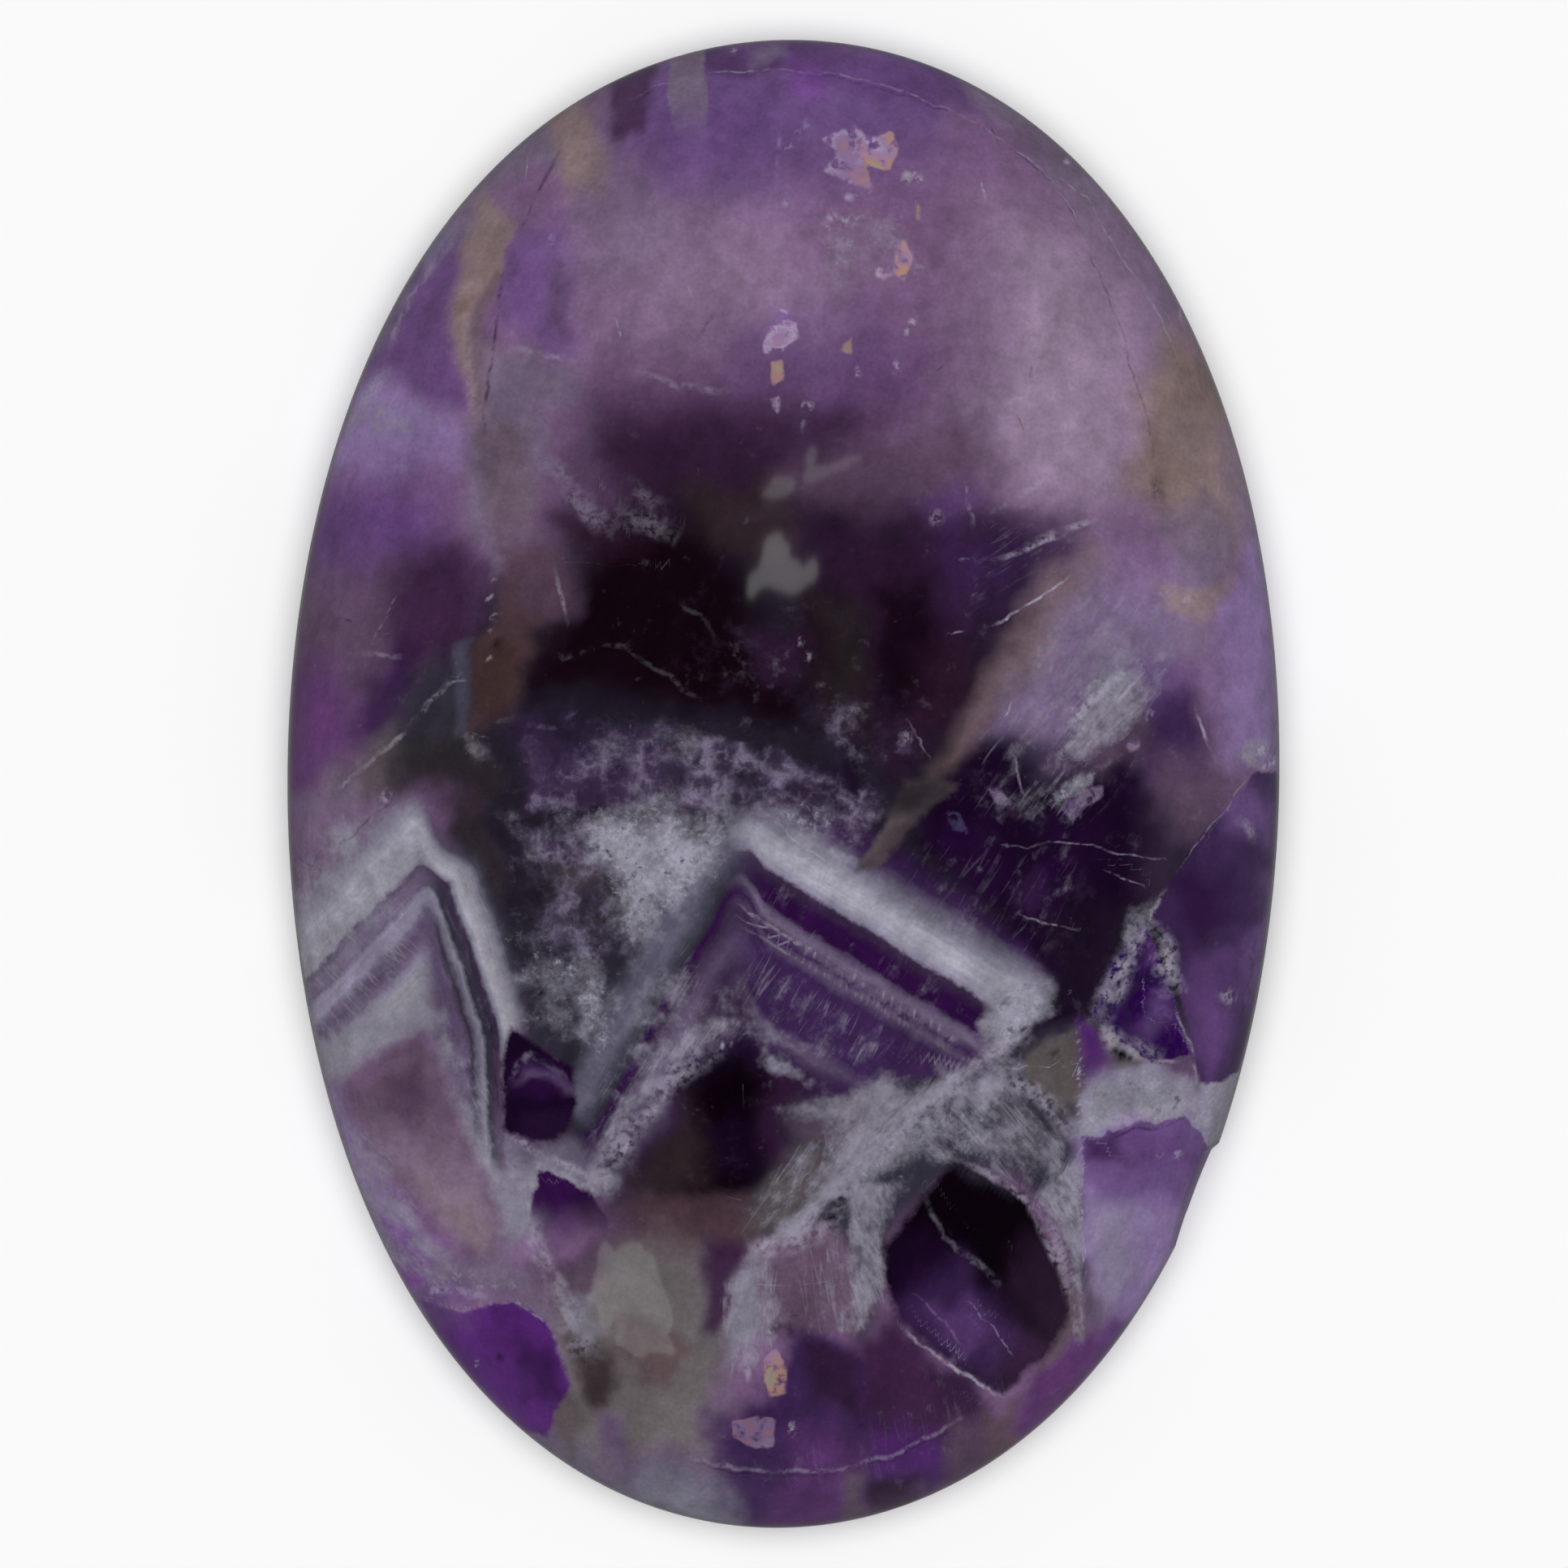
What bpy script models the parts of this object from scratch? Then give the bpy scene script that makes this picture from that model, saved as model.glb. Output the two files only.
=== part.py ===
# Chevron amethyst cabochon: one polished oval stone with a flat back.
# The back lies on z = 0, the long axis runs along Y and the dome rises along +Z.

import math

import bmesh
import bpy
from mathutils import Vector

MM = 0.001

# Driving dimensions
LENGTH = 45.0 * MM
WIDTH = 30.0 * MM
HEIGHT = 7.6 * MM
GIRDLE_HEIGHT = 1.7 * MM
GIRDLE_DRAFT = 0.12 * MM
BACK_BEVEL = 0.55 * MM

# The oval was ground by hand, so it swells past a true ellipse by these shares of its radius.
SHOULDER_SWELL = 0.0085
CORNER_SWELL = 0.0039
EGG_SWELL = 0.0052
LEAN_SWELL = 0.0060
TRIPLE_SWELL = 0.0031

# Facet counts
SEGMENTS = 96
DOME_RINGS = 15

# A chip in the girdle, lower right. Its upper end is a sharp step and its lower end fades out.
CHIP_STEP = Vector((12.93, -11.05)) * MM
CHIP_FADE = Vector((11.86, -13.95)) * MM
CHIP_HOLLOW = 0.05 * MM
CHIP_LEAN = 0.14
CHIP_STEP_TURN = math.radians(38)
CHIP_REACH = 2.0 * MM
CHIP_STEPS = 6
CHIP_FOOT = -1.0 * MM
CHIP_HEAD = 5.0 * MM

# A natural pocket in the dome, right of centre: its mouth, and its floor below the polish.
POCKET_MOUTH = [
    Vector((9.25, -6.95)) * MM,
    Vector((9.95, -5.35)) * MM,
    Vector((10.85, -4.25)) * MM,
    Vector((11.50, -5.60)) * MM,
    Vector((11.95, -7.30)) * MM,
    Vector((12.10, -8.15)) * MM,
    Vector((11.15, -8.35)) * MM,
    Vector((10.15, -7.70)) * MM,
]
POCKET_DEPTH = 0.55 * MM
POCKET_FLOOR_SHARE = 0.42
POCKET_LIP = 0.5 * MM


def swell(turn):
    """The girdle's radius at this turn of the oval, as a share of the ellipse's."""
    return (
        1
        - SHOULDER_SWELL * math.cos(4 * turn)
        + CORNER_SWELL * math.cos(2 * turn)
        + EGG_SWELL * math.sin(turn)
        + LEAN_SWELL * math.sin(2 * turn)
        + TRIPLE_SWELL * math.sin(3 * turn)
    )


def girdle_outline():
    """The girdle seen from above, anticlockwise from +X, centred and exactly WIDTH by LENGTH."""
    turns = [2 * math.pi * i / SEGMENTS for i in range(SEGMENTS)]
    raw = [Vector((math.cos(t), math.sin(t))) * swell(t) for t in turns]
    low = Vector((min(p.x for p in raw), min(p.y for p in raw)))
    high = Vector((max(p.x for p in raw), max(p.y for p in raw)))
    middle, span = (low + high) / 2, high - low
    return [
        Vector(((p.x - middle.x) / span.x * WIDTH, (p.y - middle.y) / span.y * LENGTH))
        for p in raw
    ]


def inset_by(distance):
    """Shares that draw the outline in by this distance on each axis."""
    return Vector((1 - 2 * distance / WIDTH, 1 - 2 * distance / LENGTH))


def dome_height(share):
    """Height of the polished dome where the outline has shrunk to this share of the girdle's."""
    return GIRDLE_HEIGHT + (HEIGHT - GIRDLE_HEIGHT) * math.sqrt(max(0.0, 1 - share * share))


def surface_height(point):
    """Height of the dome above a point of the plan, close enough to place what is cut into it."""
    share = math.hypot(2 * point.x / WIDTH, 2 * point.y / LENGTH)
    return dome_height(min(share, 1.0))


def add_ring(mesh, outline, shares, z):
    return [mesh.verts.new((p.x * shares.x, p.y * shares.y, z)) for p in outline]


def join_rings(mesh, lower, upper):
    for i in range(SEGMENTS):
        j = (i + 1) % SEGMENTS
        mesh.faces.new((lower[i], lower[j], upper[j], upper[i]))


def make_stone_mesh():
    """Back, bevel, girdle and dome as rings of the one outline, closed by a flat back and an apex."""
    outline = girdle_outline()
    mesh = bmesh.new()
    draft = inset_by(GIRDLE_DRAFT)
    rings = [
        add_ring(mesh, outline, inset_by(BACK_BEVEL), 0.0),
        add_ring(mesh, outline, Vector((1, 1)), BACK_BEVEL),
        add_ring(mesh, outline, draft, GIRDLE_HEIGHT),
    ]
    for i in range(1, DOME_RINGS):
        rise = math.pi / 2 * i / DOME_RINGS
        share = math.cos(rise)
        rings.append(add_ring(mesh, outline, draft * share, dome_height(share)))
    for lower, upper in zip(rings, rings[1:]):
        join_rings(mesh, lower, upper)
    mesh.faces.new(reversed(rings[0]))
    apex = mesh.verts.new((0, 0, HEIGHT))
    top = rings[-1]
    for i in range(SEGMENTS):
        mesh.faces.new((top[i], top[(i + 1) % SEGMENTS], apex))
    return mesh


def make_chip_cutter():
    """A prism whose inner wall is the chip: slightly hollow, leaning in over the dome, stepped."""
    run = CHIP_FADE - CHIP_STEP
    outward = Vector((-run.y, run.x)).normalized()
    wall = []
    for i in range(CHIP_STEPS + 1):
        share = i / CHIP_STEPS
        hollow = CHIP_HOLLOW * 4 * share * (1 - share)
        wall.append(CHIP_STEP + run * share - outward * hollow)
    step_way = Vector((math.cos(CHIP_STEP_TURN), math.sin(CHIP_STEP_TURN)))
    wall.append(CHIP_FADE + outward * CHIP_REACH + run.normalized() * CHIP_REACH)
    wall.append(CHIP_STEP + outward * CHIP_REACH * 2)
    wall.append(CHIP_STEP + step_way * CHIP_REACH)
    mesh = bmesh.new()
    ends = []
    for z in (CHIP_FOOT, CHIP_HEAD):
        lean = outward * CHIP_LEAN * (z - BACK_BEVEL)
        ends.append([mesh.verts.new((p.x - lean.x, p.y - lean.y, z)) for p in wall])
    foot, head = ends
    for i in range(len(wall)):
        j = (i + 1) % len(wall)
        mesh.faces.new((foot[i], foot[j], head[j], head[i]))
    mesh.faces.new(foot)
    mesh.faces.new(head)
    bmesh.ops.recalc_face_normals(mesh, faces=mesh.faces)
    return mesh


def make_pocket_cutter():
    """A funnel: the pocket's mouth carried above the polish, narrowing to a small floor below it."""
    centre = sum(POCKET_MOUTH, Vector((0, 0))) / len(POCKET_MOUTH)
    mesh = bmesh.new()
    mouth, floor = [], []
    for p in POCKET_MOUTH:
        away = p - centre
        lip = 1 + POCKET_LIP / POCKET_DEPTH * (1 - POCKET_FLOOR_SHARE)
        over, under = centre + away * lip, centre + away * POCKET_FLOOR_SHARE
        mouth.append(mesh.verts.new((over.x, over.y, surface_height(p) + POCKET_LIP)))
        floor.append(mesh.verts.new((under.x, under.y, surface_height(under) - POCKET_DEPTH)))
    count = len(mouth)
    for i in range(count):
        j = (i + 1) % count
        mesh.faces.new((floor[i], floor[j], mouth[j], mouth[i]))
    mesh.faces.new(mouth)
    mesh.faces.new(reversed(floor))
    bmesh.ops.triangulate(mesh, faces=mesh.faces)
    bmesh.ops.recalc_face_normals(mesh, faces=mesh.faces)
    return mesh


def add_object(name, mesh):
    data = bpy.data.meshes.new(name)
    mesh.to_mesh(data)
    mesh.free()
    placed = bpy.data.objects.new(name, data)
    bpy.context.scene.collection.objects.link(placed)
    return placed


def polished_amethyst():
    material = bpy.data.materials.new("polished amethyst")
    material.use_nodes = True
    shader = material.node_tree.nodes["Principled BSDF"]
    shader.inputs["Base Color"].default_value = (0.13, 0.07, 0.17, 1)
    shader.inputs["Roughness"].default_value = 0.08
    shader.inputs["Metallic"].default_value = 0.0
    shader.inputs["IOR"].default_value = 1.544
    return material


def cut_away(stone, name, mesh):
    """Takes a cutter's shape out of the stone and keeps the cutter as a hidden wire helper."""
    cutter = add_object(name, mesh)
    cutter.hide_render = True
    cutter.display_type = "WIRE"
    cut = stone.modifiers.new(name, "BOOLEAN")
    cut.operation = "DIFFERENCE"
    cut.solver = "EXACT"
    cut.object = cutter


def main():
    for thing in list(bpy.data.objects):
        bpy.data.objects.remove(thing)
    stone = add_object("cabochon", make_stone_mesh())
    stone.data.materials.append(polished_amethyst())
    stone.data.shade_smooth()
    stone.data.set_sharp_from_angle(angle=math.radians(25))
    cut_away(stone, "girdle_chip_cutter", make_chip_cutter())
    cut_away(stone, "pocket_cutter", make_pocket_cutter())


main()
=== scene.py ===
# Chevron amethyst cabochon: the looks of one polished oval stone.
# Lengths are in mm until they go into the mesh: x across, y along the stone, z up from its back.
import math

import bpy
import numpy as np
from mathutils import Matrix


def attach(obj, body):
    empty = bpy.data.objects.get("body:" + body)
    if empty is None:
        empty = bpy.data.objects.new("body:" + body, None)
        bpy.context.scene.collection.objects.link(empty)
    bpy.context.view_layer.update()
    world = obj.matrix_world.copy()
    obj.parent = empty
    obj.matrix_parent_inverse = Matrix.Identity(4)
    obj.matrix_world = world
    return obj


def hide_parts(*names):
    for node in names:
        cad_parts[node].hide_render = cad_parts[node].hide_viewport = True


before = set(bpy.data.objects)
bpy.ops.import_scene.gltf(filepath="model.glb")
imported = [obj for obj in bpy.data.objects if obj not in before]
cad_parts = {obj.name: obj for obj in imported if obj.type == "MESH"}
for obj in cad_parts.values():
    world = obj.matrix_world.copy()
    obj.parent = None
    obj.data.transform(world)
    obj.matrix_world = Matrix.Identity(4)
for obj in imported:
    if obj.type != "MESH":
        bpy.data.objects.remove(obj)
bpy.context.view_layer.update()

mm = 0.001
viewHeight = 264.0          # the photograph was taken from this height, in mm
print("stage: frame loaded")


def toLinear(hexColour):
    # one sRGB hex colour as linear red, green, blue
    shares = [int(hexColour[i:i + 2], 16) / 255 for i in (1, 3, 5)]
    return [c / 12.92 if c <= 0.04045 else ((c + 0.055) / 1.055) ** 2.4 for c in shares]


# The stone's cut. The outline swells past a true ellipse by these shares of its radius.
stoneCut = {
    "length": 45.0,
    "width": 30.0,
    "height": 7.6,
    "girdleTop": 1.7,
    "girdleDraft": 0.12,
    "backBevel": 0.55,
    "shoulderSwell": 0.0085,
    "cornerSwell": 0.0039,
    "eggSwell": 0.0052,
    "leanSwell": 0.0060,
    "tripleSwell": 0.0031,
    "domeCells": 268,      # cells across the dome, about 0.12 mm each
    "backCells": 90,
    "backGrid": 0.985,     # the flat back's grid as a share of the bevel's last ring
    "girdleRings": 5,
    "smoothAngle": 32,     # degrees; sharper edges than this stay crisp
}

# The chip in the girdle: a sharp step at its upper end, fading out below.
girdleChip = {
    "step": (12.93, -11.05),
    "fade": (11.86, -13.95),
    "hollow": 0.05,
    "lean": 0.14,
    "stepTurn": 38,        # degrees from +x of the little wall that ends it
    "area": [(12.4, -10.6), (13.9, -10.4), (13.4, -13.0), (12.3, -14.4), (11.6, -13.9)],
    "fineMargin": 0.05,    # how far round the area the mesh is finer
}

# The natural pocket in the dome: its mouth, its depth and how rough its walls are.
pocket = {
    "mouth": [(9.25, -6.95), (9.95, -5.35), (10.85, -4.25), (11.50, -5.60),
              (11.95, -7.30), (12.10, -8.15), (11.15, -8.35), (10.15, -7.70)],
    "depth": 0.55,
    "wall": 0.75,          # how far in from the mouth the floor is reached
    "waver": (0.35, 0.05),                          # of the mouth: size, reach
    "facets": [(0.9, 0.35, 11), (0.4, 0.2, 12)],    # size, share of the depth, seed
    "grit": (0.16, 0.10),
    "fineMargin": 0.35,
}

halfSize = np.array([stoneCut["width"] / 2, stoneCut["length"] / 2])
noiseFactors = (127.1, 311.7, 74.7, 43758.5453)        # any large uneven numbers do


def swellAt(turn):
    return (
        1
        - stoneCut["shoulderSwell"] * np.cos(4 * turn)
        + stoneCut["cornerSwell"] * np.cos(2 * turn)
        + stoneCut["eggSwell"] * np.sin(turn)
        + stoneCut["leanSwell"] * np.sin(2 * turn)
        + stoneCut["tripleSwell"] * np.sin(3 * turn)
    )


def outlineAt(turn):
    # the girdle seen from above, brought to exactly the stone's width and length
    fine = np.linspace(0, 2 * np.pi, 2881)
    raw = np.stack([np.cos(fine), np.sin(fine)], axis=1) * swellAt(fine)[:, None]
    low, high = raw.min(axis=0), raw.max(axis=0)
    there = np.stack([np.cos(turn), np.sin(turn)], axis=-1) * swellAt(turn)[..., None]
    return (there - (low + high) / 2) / (high - low) * 2 * halfSize


def insetBy(distance):
    return 1 - distance / halfSize


def domeHeight(share):
    rise = stoneCut["height"] - stoneCut["girdleTop"]
    return stoneCut["girdleTop"] + rise * np.sqrt(np.clip(1 - share * share, 0, 1))


def valueNoise(spots, size, seed):
    # smooth noise from -1 to 1 over points of the plan, the same on every run
    acrossFactor, alongFactor, seedFactor, spread = noiseFactors
    scaled = spots / size
    cell = np.floor(scaled)
    part = scaled - cell
    part = part * part * (3 - 2 * part)

    def corner(dx, dy):
        mixed = (cell[:, 0] + dx) * acrossFactor + (cell[:, 1] + dy) * alongFactor + seed * seedFactor
        mixed = np.sin(mixed) * spread
        return (mixed - np.floor(mixed)) * 2 - 1

    low = corner(0, 0) * (1 - part[:, 0]) + corner(1, 0) * part[:, 0]
    high = corner(0, 1) * (1 - part[:, 0]) + corner(1, 1) * part[:, 0]
    return low * (1 - part[:, 1]) + high * part[:, 1]


def lineDistances(spots, corners, closed=False):
    # distance to a run of straight stretches, and which side of it each point is on (+ is left)
    corners = np.asarray(corners, dtype=float)
    ends = np.roll(corners, -1, axis=0) if closed else corners[1:]
    starts = corners if closed else corners[:-1]
    nearest = np.full(len(spots), 1e9)
    side = np.ones(len(spots))
    for start, end in zip(starts, ends):
        run = end - start
        reach = spots - start
        along = np.clip(reach @ run / (run @ run), 0, 1)
        gap = reach - along[:, None] * run
        distance = np.hypot(gap[:, 0], gap[:, 1])
        turnTo = run[0] * reach[:, 1] - run[1] * reach[:, 0]
        closer = distance < nearest - 1e-9
        nearest = np.where(closer, distance, nearest)
        side = np.where(closer, np.sign(turnTo), side)
    return nearest, side


def zoneDistance(spots, corners):
    # signed distance to a closed outline, negative inside
    corners = np.asarray(corners, dtype=float)
    nearest, _ = lineDistances(spots, corners, closed=True)
    inside = np.zeros(len(spots), dtype=bool)
    for start, end in zip(corners, np.roll(corners, -1, axis=0)):
        if start[1] == end[1]:
            continue
        crosses = (start[1] > spots[:, 1]) != (end[1] > spots[:, 1])
        meets = (end[0] - start[0]) * (spots[:, 1] - start[1]) / (end[1] - start[1]) + start[0]
        inside ^= crosses & (spots[:, 0] < meets)
    return np.where(inside, -nearest, nearest)


def meshPoints(piece):
    points = np.empty(len(piece.data.vertices) * 3)
    piece.data.vertices.foreach_get("co", points)
    return points.reshape(-1, 3)


def setMeshPoints(piece, points):
    piece.data.vertices.foreach_set("co", points.ravel())
    piece.data.update()


def selectOnly(piece):
    bpy.ops.object.select_all(action="DESELECT")
    piece.select_set(True)
    bpy.context.view_layer.objects.active = piece


def gridToOval(points):
    # a square grid pulled out to a disc of even cells: its share of the radius and its turn
    x, y = points[:, 0], points[:, 1]
    wide = np.abs(x) >= np.abs(y)
    share = np.where(wide, np.abs(x), np.abs(y))
    safe = np.where(share < 1e-9, 1, np.where(wide, x, y))
    lean = np.where(wide, y, x) / safe
    turn = np.where(wide, np.pi / 4 * lean, np.pi / 2 - np.pi / 4 * lean)
    turn = turn + np.where(np.where(wide, x, y) < 0, np.pi, 0)
    return share, turn


def addGrid(name, cells):
    bpy.ops.mesh.primitive_grid_add(x_subdivisions=cells, y_subdivisions=cells, size=2)
    piece = bpy.context.object
    piece.name = name
    return piece


def evenDomeShares(steps):
    # shares of the radius that are evenly spaced along the polish, not along the plan
    fine = np.linspace(0, np.pi / 2, 2001)
    meanRadius = halfSize.mean()
    run, rise = np.sin(fine) * meanRadius, np.cos(fine) * (stoneCut["height"] - stoneCut["girdleTop"])
    length = np.concatenate([[0], np.cumsum(np.hypot(np.diff(run), np.diff(rise)))])
    return np.interp(steps, length / length[-1], np.sin(fine))


def shrinkLoop(before, after, drop):
    # one more ring below the selected one, drawn in or out by these shares of the radii
    bpy.ops.mesh.extrude_region_move(TRANSFORM_OT_translate={"value": (0, 0, -drop * mm)})
    scale = (after[0] / before[0], after[1] / before[1], 1)
    bpy.ops.transform.resize(value=scale, center_override=(0, 0, 0))


def cutOval():
    # dome first: a square grid pulled out to the oval and raised
    stone = addGrid("amethystStone", stoneCut["domeCells"])
    share, turn = gridToOval(meshPoints(stone))
    share = evenDomeShares(share)
    plan = outlineAt(turn) * share[:, None] * insetBy(stoneCut["girdleDraft"])
    setMeshPoints(stone, np.column_stack([plan, domeHeight(share)]) * mm)
    back = addGrid("stoneBack", stoneCut["backCells"])
    share, turn = gridToOval(meshPoints(back))
    plan = outlineAt(turn) * share[:, None] * insetBy(stoneCut["backBevel"]) * stoneCut["backGrid"]
    setMeshPoints(back, np.column_stack([plan, np.zeros(len(plan))]) * mm)

    # then girdle and bevel, ring by ring down from the dome's edge
    selectOnly(stone)
    bpy.ops.object.mode_set(mode="EDIT")
    bpy.ops.mesh.select_all(action="SELECT")
    bpy.ops.mesh.region_to_loop()
    rings = stoneCut["girdleRings"]
    girdle = stoneCut["girdleTop"] - stoneCut["backBevel"]
    for i in range(rings):
        before = insetBy(stoneCut["girdleDraft"] * (1 - i / rings))
        after = insetBy(stoneCut["girdleDraft"] * (1 - (i + 1) / rings))
        shrinkLoop(before, after, girdle / rings)
    half = stoneCut["backBevel"] / 2
    for i in range(2):
        shrinkLoop(insetBy(half * i), insetBy(half * (i + 1)), half)
    bpy.ops.object.mode_set(mode="OBJECT")

    # and the flat back, bridged to the bevel
    stone.select_set(True)
    back.select_set(True)
    bpy.context.view_layer.objects.active = stone
    bpy.ops.object.join()
    bpy.ops.object.mode_set(mode="EDIT")
    bpy.ops.mesh.select_all(action="SELECT")
    bpy.ops.mesh.region_to_loop()
    bpy.ops.mesh.bridge_edge_loops()
    bpy.ops.mesh.select_all(action="SELECT")
    bpy.ops.mesh.normals_make_consistent(inside=False)
    bpy.ops.mesh.select_all(action="DESELECT")
    bpy.ops.object.mode_set(mode="OBJECT")
    return stone


def refineNear(stone, corners, margin):
    # halves the cells on and near a feature that is finer than the polish needs
    middles = np.empty(len(stone.data.polygons) * 3)
    stone.data.polygons.foreach_get("center", middles)
    middles = middles.reshape(-1, 3) / mm
    near = (zoneDistance(middles[:, :2], corners) < margin) & (middles[:, 2] > 0.01)
    stone.data.polygons.foreach_set("select", near)
    selectOnly(stone)
    bpy.ops.object.mode_set(mode="EDIT")
    bpy.ops.mesh.select_mode(type="FACE")
    bpy.ops.mesh.subdivide(number_cuts=1)
    bpy.ops.mesh.select_all(action="DESELECT")
    bpy.ops.object.mode_set(mode="OBJECT")


def breakGirdle(points):
    # draws in all that lies past the chip's wall or past the little step at its upper end
    step, fade = np.array(girdleChip["step"]), np.array(girdleChip["fade"])
    run = (fade - step) / np.linalg.norm(fade - step)
    length = np.linalg.norm(fade - step)
    outward = np.array([-run[1], run[0]])
    stepTurn = math.radians(girdleChip["stepTurn"])
    stepWay = np.array([math.cos(stepTurn), math.sin(stepTurn)])
    lean = girdleChip["lean"] * (points[:, 2] - stoneCut["backBevel"])
    reach = points[:, :2] - step + outward * lean[:, None]
    along, over = reach @ run, reach @ outward
    share = np.clip(along / length, 0, 1)
    over = over + girdleChip["hollow"] * 4 * share * (1 - share)
    past = (along >= 0) & (over > 0) & (over > along - length)
    moved = over - np.maximum(0, along - length)
    points[past, :2] -= moved[past, None] * outward
    beside = (along < 0) & (over > 0) & (reach[:, 0] * stepWay[1] - reach[:, 1] * stepWay[0] > 0)
    onStep = np.maximum(0, reach @ stepWay)[:, None] * stepWay
    points[beside, :2] += (onStep - reach)[beside]
    return past | beside


def hollowPocket(points):
    # lowers the polish inside the mouth into rough broken walls and a small floor
    plan = points[:, :2]
    size, reach = pocket["waver"]
    depth = -zoneDistance(plan + valueNoise(plan, size, 5)[:, None] * reach, pocket["mouth"])
    inside = (depth > 0) & (points[:, 2] > stoneCut["girdleTop"])
    fall = np.clip(depth / pocket["wall"], 0, 1)
    facets = sum(np.abs(valueNoise(plan, size, seed)) * share for size, share, seed in pocket["facets"])
    size, reach = pocket["grit"]
    grit = valueNoise(plan, size, 13) * reach
    sink = pocket["depth"] * np.clip(fall * (1 - facets) + grit * np.minimum(1, fall * 4), 0, 1)
    points[inside, 2] -= sink[inside]
    return inside


def makeStone():
    # the stone, its points before the damage, and which of them the chip and the pocket moved
    stone = cutOval()
    refineNear(stone, pocket["mouth"], pocket["fineMargin"])
    refineNear(stone, girdleChip["area"], girdleChip["fineMargin"])
    points = meshPoints(stone) / mm
    uncut = points.copy()
    broken = breakGirdle(points)
    hollow = hollowPocket(points)
    setMeshPoints(stone, points * mm)
    selectOnly(stone)
    bpy.ops.object.shade_smooth_by_angle(angle=math.radians(stoneCut["smoothAngle"]))
    return stone, uncut, broken, hollow


stone, uncut, broken, hollow = makeStone()
print("stage: stone cut,", len(stone.data.polygons), "faces,", len(stone.data.vertices), "points")
# Colours of the crystal, as sRGB hex: iron-tinted quartz from near black to milk white.
tints = {
    "night": "#0a020b", "heart": "#12060f", "heartWarm": "#1c1116", "ink": "#1b0c24", "plum": "#2b1a2e",
    "plumSoft": "#3b2440", "plumRed": "#2a1726", "deepViolet": "#30183f", "darkViolet": "#3e2b4f",
    "violet": "#644979", "brightViolet": "#5a3474", "royal": "#2a0449", "softViolet": "#6e5684",
    "lilac": "#8c78a2", "lilacPale": "#918ba0", "mauve": "#7b6182", "mauvePale": "#98859c",
    "mauveGrey": "#77697f", "mauveDark": "#574558", "mauveDeep": "#463449", "magenta": "#5f3d6c",
    "milk": "#97949f", "milkWhite": "#a9a7b4", "milkGrey": "#7f7d8b", "milkBlue": "#625f70",
    "inkGrey": "#241f2b", "slate": "#4a4856", "slateDark": "#35333f", "greyLilac": "#6c6678",
    "olive": "#5c5556", "oliveGrey": "#6b6568", "oliveDark": "#2b2629", "oliveBlack": "#211d22",
    "tan": "#8a7879", "tanDark": "#5d4c50", "rust": "#40302e", "brown": "#4d3b41",
    "brownDark": "#33282c", "brownMauve": "#655461", "ochre": "#786661", "blueGrey": "#7a748a",
    "orchid": "#795291", "dusk": "#5d5069", "duskPale": "#746880", "plumDusk": "#3d3046",
    "mauveMid": "#665367", "oliveMid": "#463e44",
}

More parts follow.
